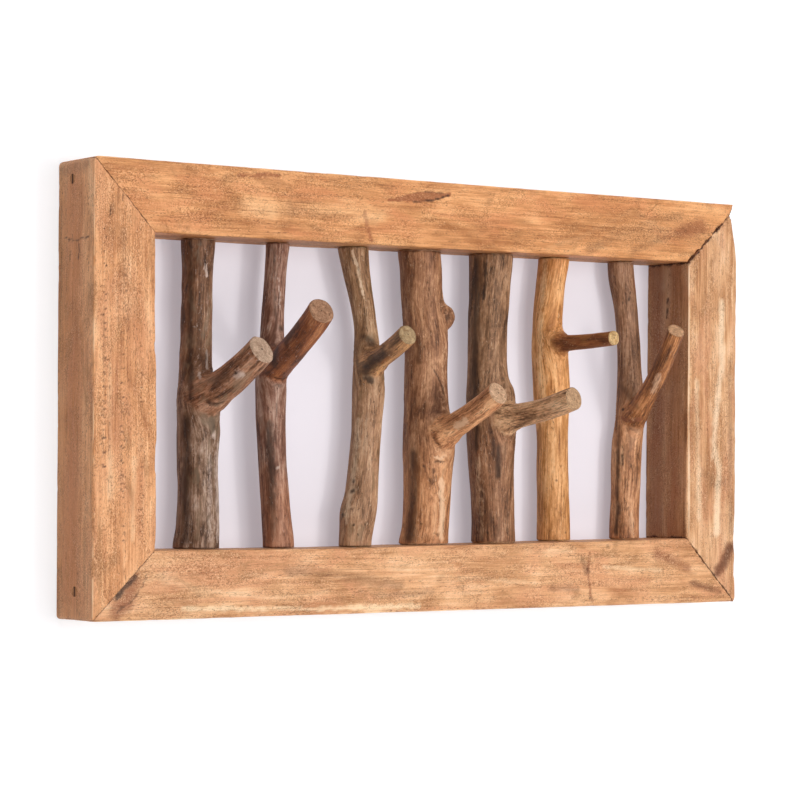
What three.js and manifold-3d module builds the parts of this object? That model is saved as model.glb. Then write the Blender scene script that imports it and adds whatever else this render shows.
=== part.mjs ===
// Wall coat rack: seven forked branches held upright in a mitred board frame, each with one
// side shoot cut short as a hook.
// Millimetres, +Z up. +X runs right along the rack, -Y faces the room and +Y faces the wall.
// The origin is the middle of the top rail's back face, where the rack bears on the wall.

import * as THREE from 'three';
import { mergeVertices } from 'three/addons/utils/BufferGeometryUtils.js';
import Module from 'manifold-3d';

const wasm = await Module();
wasm.setup();

// Frame boards
const RACK_WIDTH = 650;
const RACK_HEIGHT = 350;
const BOARD_DEPTH = 54;
const STILE_FACE = 53;
const TOP_RAIL_FACE = 53;
const BOTTOM_RAIL_FACE = 54;
const BOARD_ARRIS = 1.6;
const MITRE_JOINT = 0.6;

// The right stile's outer edge is waney: [distance below the rack's top, swell past the square edge]
const WANEY_EDGE = [
  [0, -1.5], [15, 0], [37, 3.6], [68, 5.2], [124, 3.3], [243, 1.8], [350, 0],
];
// The right stile ends short of its corner, and the top rail's sharp tip stands over it
const TIP_OVERHANG = 5.2;
const TIP_DROP = 10.4;
const STILE_END_DROP = 4.6;

// Row of branches
const END_MARGIN = 55;
const SEAT_GAP = 0.3;

// Each branch: how far its line stands behind the boards' middle, the trunk's stations of
// [height over the bottom rail, sway to the right, radius], and its side shoots, the hook first.
// A shoot leaves the trunk's line at a height and ends across (+ right), forward (towards the
// room) and up from there. Its root flares from the trunk, and its middle sags under the chord.
const BRANCHES = [
  {
    behind: 7,
    colour: 0x6e553d,
    trunk: [
      [0, 3.2, 18.9], [14, 4.4, 17.8], [40, 4.6, 16.8], [66, 4.2, 16.5], [92, 4.9, 17.2],
      [112, 3.7, 17.2], [140, 2.4, 13.6], [180, 2.7, 12.9], [212, 3.5, 12.8], [240, 4.1, 13.7],
    ],
    shoots: [
      { height: 113, across: 14.5, forward: 69.5, up: 39.5, flare: 16, root: 13.4, tip: 12.2, sag: 3 },
    ],
  },
  {
    behind: 3,
    colour: 0x6b4a38,
    trunk: [
      [0, 5.8, 12.9], [24, 3.5, 12], [48, 1.2, 11.9], [84, -1.3, 11.9], [118, -2.3, 12.8],
      [136, -2, 12.9], [160, -1.2, 10.4], [188, 0, 9.5], [208, 1.2, 9.3], [228, 3, 9.5],
      [240, 4, 10.2],
    ],
    shoots: [
      { height: 138.5, across: -9, forward: 83, up: 44.5, flare: 12.6, root: 11.6, tip: 10.9, sag: 3 },
    ],
  },
  {
    behind: 4,
    colour: 0x83694b,
    trunk: [
      [0, 9.2, 13.4], [14, 11, 14.2], [28, 12.8, 15.2], [42, 15.4, 13.8], [62, 17.6, 13],
      [94, 20.6, 12.6], [127, 22, 13.8], [150, 21.2, 12.2], [174, 19.4, 10], [200, 14.8, 10.5],
      [224, 9.2, 11.7], [242, 6.6, 12.6],
    ],
    shoots: [
      { height: 145.5, across: -3, forward: 59, up: 23, flare: 11.5, root: 9.2, tip: 8.7, sag: 2 },
    ],
  },
  {
    behind: 3.5,
    colour: 0x946a45,
    trunk: [
      [0, 5, 20.8], [12, 6.8, 19.9], [36, 8.4, 19.8], [60, 9.4, 20.8], [82, 10.6, 21.9],
      [112, 8.3, 18.6], [144, 7.4, 17.9], [168, 7.2, 18.5], [190, 4.4, 17.8], [208, 2.7, 17.3],
      [226, 1.8, 17.4], [242, 0, 18],
    ],
    shoots: [
      { height: 85, across: 10, forward: 80, up: 38, flare: 14, root: 10.6, tip: 10, sag: 3 },
      { height: 186, across: 25, forward: 11, up: 1, flare: 11.5, root: 10.5, tip: 8, sag: 0 },
    ],
  },
  {
    behind: 4.5,
    colour: 0x8c6e50,
    trunk: [
      [0, 7.2, 18.8], [14, 6.7, 18.4], [36, 5.8, 18.6], [60, 5, 19.2], [90, 5.1, 21.3],
      [120, 4, 20.6], [138, 1.6, 17.9], [158, 1, 17.1], [190, 1.6, 17.2], [216, 2.5, 17.6],
      [242, 4.2, 18.8],
    ],
    shoots: [
      { height: 103, across: 15.5, forward: 91, up: 16, flare: 13.5, root: 10.6, tip: 10, sag: 3 },
    ],
  },
  {
    behind: 8,
    colour: 0xb8853f,
    trunk: [
      [0, 3, 14.2], [24, 2.8, 14.2], [60, 1.9, 14], [96, 1.5, 14.1], [132, 0.6, 15.9],
      [160, -1.4, 15.8], [180, -3.8, 13.5], [198, -3.1, 13.2], [218, -0.8, 13], [242, 2.8, 13.6],
    ],
    shoots: [
      { height: 169, across: 6, forward: 79.5, up: 2, flare: 9.5, root: 6.6, tip: 6, sag: 1 },
    ],
  },
  {
    behind: 9,
    colour: 0x80654a,
    trunk: [
      [0, 10.2, 13.4], [24, 11, 13.1], [48, 12.2, 13.3], [84, 14, 13.7], [104, 17, 13.4],
      [126, 17.6, 12.6], [152, 16.5, 10.6], [180, 14.8, 10.3], [200, 12.6, 10.8], [226, 7.6, 11.9],
      [242, 6.2, 11.8],
    ],
    shoots: [
      { height: 102, across: -16, forward: 79, up: 78, flare: 11, root: 9.4, tip: 7.8, sag: 5 },
    ],
  },
];

// Fasteners: every piece keeps this gap to the hole or the recess that it sits in
const FIT_GAP = 0.3;
const SCREW_POINT = 6;
const BRANCH_SCREW = { length: 70, thread: 2.4, head: 4.6, headHeight: 2.7 };
const MITRE_SCREW = { length: 50, thread: 2, head: 3.9, headHeight: 2.3 };
const HANGER_SCREW = { length: 16, thread: 1.5, head: 2.9, headHeight: 1.6 };
const BRANCH_BORE = { radius: 5.3, depth: 16 };
const MITRE_BORE = { radius: 4.3, depth: 7 };

// Each corner's screw: how far it stands from the rack's end, and behind the boards' middle
const MITRE_SCREW_PLACES = [
  { side: 'left', end: 'top', inset: 15, behind: 6 },
  { side: 'left', end: 'bottom', inset: 22, behind: 0 },
  { side: 'right', end: 'top', inset: 23, behind: 2 },
  { side: 'right', end: 'bottom', inset: 21, behind: -1 },
];

// Keyhole plates let into the top rail's back
const HANGER_SPACING = 360;
const PLATE_HEIGHT = 45;
const PLATE_WIDTH = 16;
const PLATE_THICKNESS = 2;
const PLATE_CORNER = 3;
const PLATE_SINK = 0.1;
const PLATE_SCREW_SPACING = 36;
const KEYHOLE_RADIUS = 4.5;
const KEYHOLE_DROP = 5;
const KEYHOLE_SLOT_WIDTH = 4.6;
const KEYHOLE_SLOT_RISE = 10;
const POCKET_MARGIN = 2;
const POCKET_DEPTH = 10;

// Fineness of the round forms
const TRUNK_SIDES = 14;
const SHOOT_SIDES = 12;
const SCREW_SIDES = 10;
const RING_STEP = 12;
const WANEY_STEPS = 24;

// Worked out from the sizes above
const LEFT = -RACK_WIDTH / 2;
const RIGHT = RACK_WIDTH / 2;
const TOP = TOP_RAIL_FACE / 2;
const BOTTOM = TOP - RACK_HEIGHT;
const MIDDLE_DEPTH = -BOARD_DEPTH / 2;
const OPENING_TOP = TOP - TOP_RAIL_FACE;
const OPENING_BOTTOM = BOTTOM + BOTTOM_RAIL_FACE;
const TRUNK_LENGTH = OPENING_TOP - OPENING_BOTTOM - 2 * SEAT_GAP;
const BRANCH_PITCH = (RACK_WIDTH - 2 * STILE_FACE - 2 * END_MARGIN) / (BRANCHES.length - 1);
// How far a cutter runs past the wood that it cuts
const PAST = 30;

const BOARD_COLOUR = 0xcd965c;
const PLUG_COLOUR = 0x7a4b2a;
const STEEL_COLOUR = 0xb9bcc0;

// Turns a geometry into a solid that can be joined and cut.
function solidOf(geometry) {
  const bare = geometry.clone();
  bare.deleteAttribute('normal');
  bare.deleteAttribute('uv');
  const merged = mergeVertices(bare, 1e-4);
  const corners = merged.index.array;
  const kept = [];
  for (let i = 0; i < corners.length; i += 3) {
    const [a, b, c] = corners.slice(i, i + 3);
    if (a !== b && b !== c && c !== a) kept.push(a, b, c);
  }
  const vertProperties = Float32Array.from(merged.attributes.position.array);
  const triVerts = Uint32Array.from(kept);
  return new wasm.Manifold(new wasm.Mesh({ numProp: 3, vertProperties, triVerts }));
}

// Turns a solid back into a geometry.
function geometryOf(solid) {
  const mesh = solid.getMesh();
  const geometry = new THREE.BufferGeometry();
  geometry.setAttribute('position', new THREE.BufferAttribute(mesh.vertProperties.slice(), 3));
  geometry.setIndex(new THREE.BufferAttribute(mesh.triVerts.slice(), 1));
  geometry.computeVertexNormals();
  return geometry;
}

// Cuts each of the given geometries out of a solid.
function cut(solid, geometries) {
  return geometries.reduce((rest, geometry) => rest.subtract(solidOf(geometry)), solid);
}

// A measure at a place on the smooth curve through stations of [place, ...measures].
function along(stations, place, measure) {
  const last = stations.length - 1;
  if (place <= stations[0][0]) return stations[0][measure];
  if (place >= stations[last][0]) return stations[last][measure];
  const next = stations.findIndex((station) => station[0] > place);
  const slope = (k) => {
    if (k === 0 || k === last) return 0;
    const [before, after] = [stations[k - 1], stations[k + 1]];
    return (after[measure] - before[measure]) / (after[0] - before[0]);
  };
  const [from, to] = [stations[next - 1], stations[next]];
  const span = to[0] - from[0];
  const t = (place - from[0]) / span;
  return (2 * t ** 3 - 3 * t ** 2 + 1) * from[measure]
    + (t ** 3 - 2 * t ** 2 + t) * span * slope(next - 1)
    + (3 * t ** 2 - 2 * t ** 3) * to[measure]
    + (t ** 3 - t ** 2) * span * slope(next);
}

// A closed round bar along +Z through stations of [z, radius].
function roundBar(stations, sides) {
  const outline = [new THREE.Vector2(0, stations[0][0])];
  for (const [z, radius] of stations) outline.push(new THREE.Vector2(radius, z));
  outline.push(new THREE.Vector2(0, stations[stations.length - 1][0]));
  return new THREE.LatheGeometry(outline, sides).rotateX(Math.PI / 2);
}

// Moves each vertex of a geometry.
function reshape(geometry, move) {
  const position = geometry.attributes.position;
  const point = new THREE.Vector3();
  for (let i = 0; i < position.count; i += 1) {
    point.fromBufferAttribute(position, i);
    move(point);
    position.setXYZ(i, point.x, point.y, point.z);
  }
  return geometry;
}

// Even steps from 0 to a length, none longer than the ring step.
function evenSteps(length) {
  const count = Math.ceil(length / RING_STEP);
  return Array.from({ length: count + 1 }, (_, i) => (length * i) / count);
}

// Where a branch stands: the line of its trunk, at its foot.
function branchFoot(index) {
  const x = LEFT + STILE_FACE + END_MARGIN + index * BRANCH_PITCH;
  const y = MIDDLE_DEPTH + BRANCHES[index].behind;
  return new THREE.Vector3(x, y, OPENING_BOTTOM + SEAT_GAP);
}

// A trunk from its foot at the origin up to its sawn top.
function trunkGeometry(stations) {
  const rings = evenSteps(TRUNK_LENGTH).map((z) => [z, along(stations, z, 2)]);
  return reshape(roundBar(rings, TRUNK_SIDES), (point) => {
    point.x += along(stations, point.z, 1);
  });
}

// A side shoot from the trunk's line out to its square cut, in the trunk's frame.
function shootGeometry(shoot, trunk) {
  const chord = new THREE.Vector3(shoot.across, -shoot.forward, shoot.up);
  const length = chord.length();
  const trunkRadius = along(trunk, shoot.height, 2);
  const profile = [
    [0, shoot.flare], [trunkRadius, shoot.flare], [trunkRadius + shoot.root, shoot.root],
    [length, shoot.tip],
  ];
  const rings = evenSteps(length).map((z) => [z, along(profile, z, 1)]);
  const bar = reshape(roundBar(rings, SHOOT_SIDES), (point) => {
    const t = point.z / length;
    point.y -= 4 * shoot.sag * t * (1 - t);
  });
  const outward = chord.clone().normalize();
  const sideways = new THREE.Vector3(0, 0, 1).cross(outward).normalize();
  const upward = outward.clone().cross(sideways);
  const placed = new THREE.Matrix4().makeBasis(sideways, upward, outward);
  placed.setPosition(along(trunk, shoot.height, 1), 0, shoot.height);
  return bar.applyMatrix4(placed);
}

// A countersunk screw, its head's top at the origin and its point down -Z.
function screwGeometry(screw) {
  return roundBar([
    [-screw.length, screw.thread / 8], [SCREW_POINT - screw.length, screw.thread],
    [-screw.headHeight, screw.thread], [-FIT_GAP, screw.head], [0, screw.head],
  ], SCREW_SIDES);
}

// The hole for a screw, opening above the head to the radius of the plug's bore.
function screwHole(screw, boreRadius) {
  return roundBar([
    [-screw.length - FIT_GAP, screw.thread + FIT_GAP],
    [-screw.headHeight - FIT_GAP, screw.thread + FIT_GAP],
    [-FIT_GAP, screw.head + FIT_GAP], [0, boreRadius], [PAST, boreRadius],
  ], SCREW_SIDES);
}

// The plug that closes a bore, from just over the screw's head out to the board's face.
function plugGeometry(bore) {
  const radius = bore.radius - FIT_GAP;
  return roundBar([[FIT_GAP, radius], [bore.depth, radius]], SCREW_SIDES);
}

// The place of a fastener's head: a point, and turns about X and then Y.
function place(x, y, z, turnX, turnY) {
  const turn = new THREE.Matrix4().makeRotationFromEuler(new THREE.Euler(turnX, turnY, 0));
  return turn.setPosition(x, y, z);
}

const branchScrews = BRANCHES.flatMap((branch, index) => {
  const foot = branchFoot(index);
  const topX = foot.x + along(branch.trunk, TRUNK_LENGTH, 1);
  const bottomX = foot.x + along(branch.trunk, 0, 1);
  return [
    { end: 'top', index, at: place(topX, foot.y, TOP - BRANCH_BORE.depth, 0, 0) },
    { end: 'bottom', index, at: place(bottomX, foot.y, BOTTOM + BRANCH_BORE.depth, Math.PI, 0) },
  ];
});

const mitreScrews = MITRE_SCREW_PLACES.map(({ side, end, inset, behind }) => {
  const z = end === 'top' ? TOP - inset : BOTTOM + inset;
  const y = MIDDLE_DEPTH + behind;
  const at = side === 'left'
    ? place(LEFT + MITRE_BORE.depth, y, z, 0, -Math.PI / 2)
    : place(RIGHT - MITRE_BORE.depth, y, z, 0, Math.PI / 2);
  return { side, end, at };
});

const hangers = [
  { side: 'left', x: -HANGER_SPACING / 2 },
  { side: 'right', x: HANGER_SPACING / 2 },
];
const hangerScrews = hangers.flatMap(({ side, x }) => [
  { side, level: 'upper', at: place(x, -PLATE_SINK, PLATE_SCREW_SPACING / 2, -Math.PI / 2, 0) },
  { side, level: 'lower', at: place(x, -PLATE_SINK, -PLATE_SCREW_SPACING / 2, -Math.PI / 2, 0) },
]);

// The hole geometries of fasteners, each in the rack's frame.
function holes(fasteners, screw, boreRadius) {
  return fasteners.map(({ at }) => screwHole(screw, boreRadius).applyMatrix4(at));
}

function branchHoles(end) {
  return holes(branchScrews.filter((one) => one.end === end), BRANCH_SCREW, BRANCH_BORE.radius);
}

function mitreHoles(wanted) {
  return holes(mitreScrews.filter(wanted), MITRE_SCREW, MITRE_BORE.radius);
}

function hangerHoles(wantedSide) {
  const some = hangerScrews.filter(({ side }) => !wantedSide || side === wantedSide);
  return holes(some, HANGER_SCREW, HANGER_SCREW.head + FIT_GAP);
}

// A rectangle with round corners about the origin.
function roundedRectangle(width, height, radius) {
  const [x, y] = [width / 2 - radius, height / 2 - radius];
  const shape = new THREE.Shape();
  shape.absarc(x, y, radius, 0, Math.PI / 2, false);
  shape.absarc(-x, y, radius, Math.PI / 2, Math.PI, false);
  shape.absarc(-x, -y, radius, Math.PI, Math.PI * 1.5, false);
  shape.absarc(x, -y, radius, Math.PI * 1.5, Math.PI * 2, false);
  return shape;
}

// A shape drawn in X and Z, as a slab from one depth to another.
function uprightSlab(shape, fromY, toY, curveSegments) {
  const settings = { depth: toY - fromY, bevelEnabled: false, curveSegments };
  return new THREE.ExtrudeGeometry(shape, settings).rotateX(Math.PI / 2).translate(0, toY, 0);
}

// A corner of the frame: where its mitre leaves the inner edge, where its joint closes at the
// outer edge, and where each board's own end then runs to.
function corner(side, end) {
  const [edge, inward] = side === 'left' ? [LEFT, 1] : [RIGHT, -1];
  const inner = new THREE.Vector2(edge + inward * STILE_FACE, end === 'top' ? OPENING_TOP : OPENING_BOTTOM);
  const outer = new THREE.Vector2(edge, end === 'top' ? TOP : BOTTOM);
  const beyond = outer.clone().multiplyScalar(2).sub(inner);
  if (side === 'right' && end === 'top') {
    const joint = new THREE.Vector2(RIGHT - TIP_OVERHANG, TOP - TIP_DROP);
    const stileEnd = new THREE.Vector2(RIGHT, TOP - TIP_DROP - STILE_END_DROP);
    return { inner, joint, railEnd: outer, stileEnd };
  }
  return { inner, joint: outer, railEnd: beyond, stileEnd: beyond };
}

// The line of a mitre, run past both edges of the board and set back from the joint by half its
// width, towards the board's own middle.
function mitreLine({ inner, joint }, ownEnd, boardMiddle) {
  const inward = inner.clone().sub(joint).normalize();
  const outward = ownEnd.clone().sub(joint).normalize();
  const setBack = new THREE.Vector2(-inward.y, inward.x);
  if (setBack.dot(boardMiddle.clone().sub(joint)) < 0) setBack.negate();
  setBack.multiplyScalar(MITRE_JOINT / 2);
  return [
    inner.clone().addScaledVector(inward, PAST).add(setBack),
    joint.clone().add(setBack),
    joint.clone().addScaledVector(outward, PAST).add(setBack),
  ];
}

// Cuts a bar to a board between the mitres of two corners.
function mitred(bar, start, end, endKey) {
  const middle = start.inner.clone().add(end.inner).multiplyScalar(0.5);
  const line = mitreLine(start, start[endKey], middle);
  const back = mitreLine(end, end[endKey], middle).reverse();
  const prism = uprightSlab(new THREE.Shape([...line, ...back]), -BOARD_DEPTH - PAST, PAST, 1);
  return solidOf(bar).intersect(solidOf(prism));
}

// A rail's bar along X, and a stile's along Z, both run past the rack's ends.
function railBar(face, middleZ) {
  const settings = { depth: RACK_WIDTH + 2 * PAST, bevelEnabled: false, curveSegments: 1 };
  const bar = new THREE.ExtrudeGeometry(roundedRectangle(BOARD_DEPTH, face, BOARD_ARRIS), settings);
  const [x, y, z] = [new THREE.Vector3(1, 0, 0), new THREE.Vector3(0, 1, 0), new THREE.Vector3(0, 0, 1)];
  bar.applyMatrix4(new THREE.Matrix4().makeBasis(y, z, x));
  return bar.translate(LEFT - PAST, MIDDLE_DEPTH, middleZ);
}

function stileBar(middleX, steps) {
  const settings = { depth: RACK_HEIGHT + 2 * PAST, bevelEnabled: false, curveSegments: 1, steps };
  const bar = new THREE.ExtrudeGeometry(roundedRectangle(STILE_FACE, BOARD_DEPTH, BOARD_ARRIS), settings);
  return bar.translate(middleX, MIDDLE_DEPTH, BOTTOM - PAST);
}

const corners = {
  topLeft: corner('left', 'top'),
  topRight: corner('right', 'top'),
  bottomLeft: corner('left', 'bottom'),
  bottomRight: corner('right', 'bottom'),
};

// The recess for a keyhole plate, and the pocket behind its keyhole for the wall screw's head.
function hangerRecess(x) {
  const size = [PLATE_WIDTH + 2 * FIT_GAP, PLATE_HEIGHT + 2 * FIT_GAP, PLATE_CORNER + FIT_GAP];
  const floor = -PLATE_SINK - PLATE_THICKNESS - FIT_GAP;
  const recess = uprightSlab(roundedRectangle(...size), floor, PAST, 2);
  const low = -KEYHOLE_DROP - KEYHOLE_RADIUS - POCKET_MARGIN;
  const high = -KEYHOLE_DROP + KEYHOLE_SLOT_RISE + KEYHOLE_SLOT_WIDTH / 2 + POCKET_MARGIN;
  const width = 2 * (KEYHOLE_RADIUS + POCKET_MARGIN);
  const pocketShape = roundedRectangle(width, high - low, width / 2 - FIT_GAP);
  const pocket = uprightSlab(pocketShape, floor - POCKET_DEPTH, PAST, 3);
  pocket.translate(0, 0, (high + low) / 2);
  return [recess.translate(x, 0, 0), pocket.translate(x, 0, 0)];
}

function topRailGeometry() {
  const bar = mitred(railBar(TOP_RAIL_FACE, 0), corners.topLeft, corners.topRight, 'railEnd');
  return geometryOf(cut(bar, [
    ...branchHoles('top'),
    ...mitreHoles(({ end }) => end === 'top'),
    ...hangers.flatMap(({ x }) => hangerRecess(x)),
    ...hangerHoles(),
  ]));
}

function bottomRailGeometry() {
  const middleZ = (BOTTOM + OPENING_BOTTOM) / 2;
  const bar = railBar(BOTTOM_RAIL_FACE, middleZ);
  const board = mitred(bar, corners.bottomLeft, corners.bottomRight, 'railEnd');
  return geometryOf(cut(board, [
    ...branchHoles('bottom'),
    ...mitreHoles(({ end }) => end === 'bottom'),
  ]));
}

function leftStileGeometry() {
  const bar = stileBar(LEFT + STILE_FACE / 2, 1);
  const board = mitred(bar, corners.bottomLeft, corners.topLeft, 'stileEnd');
  return geometryOf(cut(board, mitreHoles(({ side }) => side === 'left')));
}

function rightStileGeometry() {
  const middleX = RIGHT - STILE_FACE / 2;
  const bar = reshape(stileBar(middleX, WANEY_STEPS), (point) => {
    if (point.x > middleX) point.x += along(WANEY_EDGE, TOP - point.z, 1);
  });
  const board = mitred(bar, corners.bottomRight, corners.topRight, 'stileEnd');
  return geometryOf(cut(board, mitreHoles(({ side }) => side === 'right')));
}

// A branch in its own frame: the trunk and its shoots grown together, with its two screw holes.
function branchGeometry(index) {
  const { trunk, shoots } = BRANCHES[index];
  const foot = branchFoot(index);
  const grown = shoots.reduce(
    (wood, shoot) => wood.add(solidOf(shootGeometry(shoot, trunk))),
    solidOf(trunkGeometry(trunk)),
  );
  const own = branchScrews.filter((one) => one.index === index);
  const pilots = holes(own, BRANCH_SCREW, BRANCH_BORE.radius);
  return geometryOf(cut(grown, pilots.map((hole) => hole.translate(-foot.x, -foot.y, -foot.z))));
}

// A plate about its own middle, with a keyhole that is wide below and narrow above.
function plateGeometry(side, x) {
  const shape = roundedRectangle(PLATE_WIDTH, PLATE_HEIGHT, PLATE_CORNER);
  const keyhole = new THREE.Path();
  const slotAngle = Math.asin(KEYHOLE_SLOT_WIDTH / 2 / KEYHOLE_RADIUS);
  const up = Math.PI / 2;
  keyhole.absarc(0, -KEYHOLE_DROP, KEYHOLE_RADIUS, up + slotAngle, up - slotAngle + 2 * Math.PI, false);
  keyhole.absarc(0, KEYHOLE_SLOT_RISE - KEYHOLE_DROP, KEYHOLE_SLOT_WIDTH / 2, 0, Math.PI, false);
  shape.holes.push(keyhole);
  const plate = uprightSlab(shape, -PLATE_SINK - PLATE_THICKNESS, -PLATE_SINK, 4);
  const ownHoles = hangerHoles(side).map((hole) => hole.translate(-x, 0, 0));
  return geometryOf(cut(solidOf(plate), ownHoles));
}

// Adds a named piece to the rack.
const rack = new THREE.Group();
rack.name = 'coat_rack';

function addPiece(name, geometry, material) {
  const piece = new THREE.Mesh(geometry, material);
  piece.name = name;
  rack.add(piece);
  return piece;
}

function wood(color) {
  return new THREE.MeshStandardMaterial({ color, roughness: 0.7, metalness: 0 });
}

function steel() {
  return new THREE.MeshStandardMaterial({ color: STEEL_COLOUR, roughness: 0.35, metalness: 1 });
}

addPiece('top_rail', topRailGeometry(), wood(BOARD_COLOUR));
addPiece('bottom_rail', bottomRailGeometry(), wood(BOARD_COLOUR));
addPiece('left_stile', leftStileGeometry(), wood(BOARD_COLOUR));
addPiece('right_stile', rightStileGeometry(), wood(BOARD_COLOUR));

BRANCHES.forEach(({ colour }, index) => {
  const piece = addPiece(`branch_${index + 1}`, branchGeometry(index), wood(colour));
  piece.position.copy(branchFoot(index));
});

for (const { end, index, at } of branchScrews) {
  addPiece(`branch_screw_${end}_${index + 1}`, screwGeometry(BRANCH_SCREW), steel()).applyMatrix4(at);
  addPiece(`branch_plug_${end}_${index + 1}`, plugGeometry(BRANCH_BORE), wood(PLUG_COLOUR)).applyMatrix4(at);
}

for (const { side, end, at } of mitreScrews) {
  addPiece(`mitre_screw_${end}_${side}`, screwGeometry(MITRE_SCREW), steel()).applyMatrix4(at);
  addPiece(`mitre_plug_${end}_${side}`, plugGeometry(MITRE_BORE), wood(PLUG_COLOUR)).applyMatrix4(at);
}

for (const { side, x } of hangers) {
  addPiece(`hanger_plate_${side}`, plateGeometry(side, x), steel()).position.setX(x);
}

for (const { side, level, at } of hangerScrews) {
  addPiece(`hanger_screw_${side}_${level}`, screwGeometry(HANGER_SCREW), steel()).applyMatrix4(at);
}

export default rack;
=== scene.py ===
"""Wall coat rack: seven forked branches in a mitred frame of old boards, on a white wall."""

import math

import bmesh
import bpy
import numpy as np
from mathutils import Matrix, Vector


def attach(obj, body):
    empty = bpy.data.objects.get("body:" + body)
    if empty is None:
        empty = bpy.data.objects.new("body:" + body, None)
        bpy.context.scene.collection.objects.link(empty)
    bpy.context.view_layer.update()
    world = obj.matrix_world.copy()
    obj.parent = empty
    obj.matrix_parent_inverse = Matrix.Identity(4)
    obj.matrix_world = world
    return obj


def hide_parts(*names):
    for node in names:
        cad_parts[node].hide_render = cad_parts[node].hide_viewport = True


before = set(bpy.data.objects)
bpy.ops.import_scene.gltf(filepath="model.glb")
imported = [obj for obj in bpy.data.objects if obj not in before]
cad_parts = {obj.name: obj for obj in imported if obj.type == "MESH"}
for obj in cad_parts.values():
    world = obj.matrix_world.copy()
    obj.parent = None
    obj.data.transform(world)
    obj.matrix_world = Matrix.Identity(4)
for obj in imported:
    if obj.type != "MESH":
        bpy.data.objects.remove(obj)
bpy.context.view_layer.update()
MM = 0.001

# The frame, in millimetres
LEFT, RIGHT = -325.0, 325.0
TOP, BOTTOM = 26.5, -323.5
DEPTH = 54.0
FACE = 53.0
OPENING_BOTTOM = -269.5
MITRE_GAP = 0.2
HANGER_PLACES = (-180, 180)

# From the left board to the first branch's line, the gap under each branch's foot, how much
# thinner than the solids a limb starts, and the size of the remesh's voxels
END_MARGIN = 55
SEAT = 0.3
SKIN = 0.3
VOXEL = 1.15

# The right stile's outer end: where its joint with the top rail bends and where its corner stands,
# and its edge as (distance below the rack's top, swell past the square edge)
TIP_JOINT = (319.8, 16.1)
STILE_END = (325.0, 11.5)
WANEY_EDGE = [(0, -1.5), (15, 0), (37, 3.8), (68, 5.6), (124, 4.2), (243, 3.4), (350, 2.8)]

# How far each board's inner edge stands up or right of the plain opening, by place along it
HEAD = [(-272, -2.3), (272, -0.4)]
SILL = [(-272, -1), (-172, -1.5), (-80, -1.6), (-15, -0.7), (54, -0.4), (138, 0.7), (216, 1.2), (272, 2.2)]
LEFT_EDGE = [(-270, 2), (-262, 2.6), (-250, 3), (-200, 2.9), (-140, 2.4), (-80, 1.2), (-26.5, 0.8)]
RIGHT_EDGE = [(-269.5, -2.8), (-26.5, -0.2)]

# The branches: trunk stations are (height over the bottom rail, sway right, radius). Shoots leave
# the trunk at a height and end across, forward and up from there.
PITCH = 72.333
TRUNK_LENGTH = 242.4


def shoot(height, across, forward, up, flare, root, tip, sag, blunt=False):
    return dict(height=height, chord=np.array([across, -forward, up], float), flare=flare,
                root=root, tip=tip, sag=sag, blunt=blunt)


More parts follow.
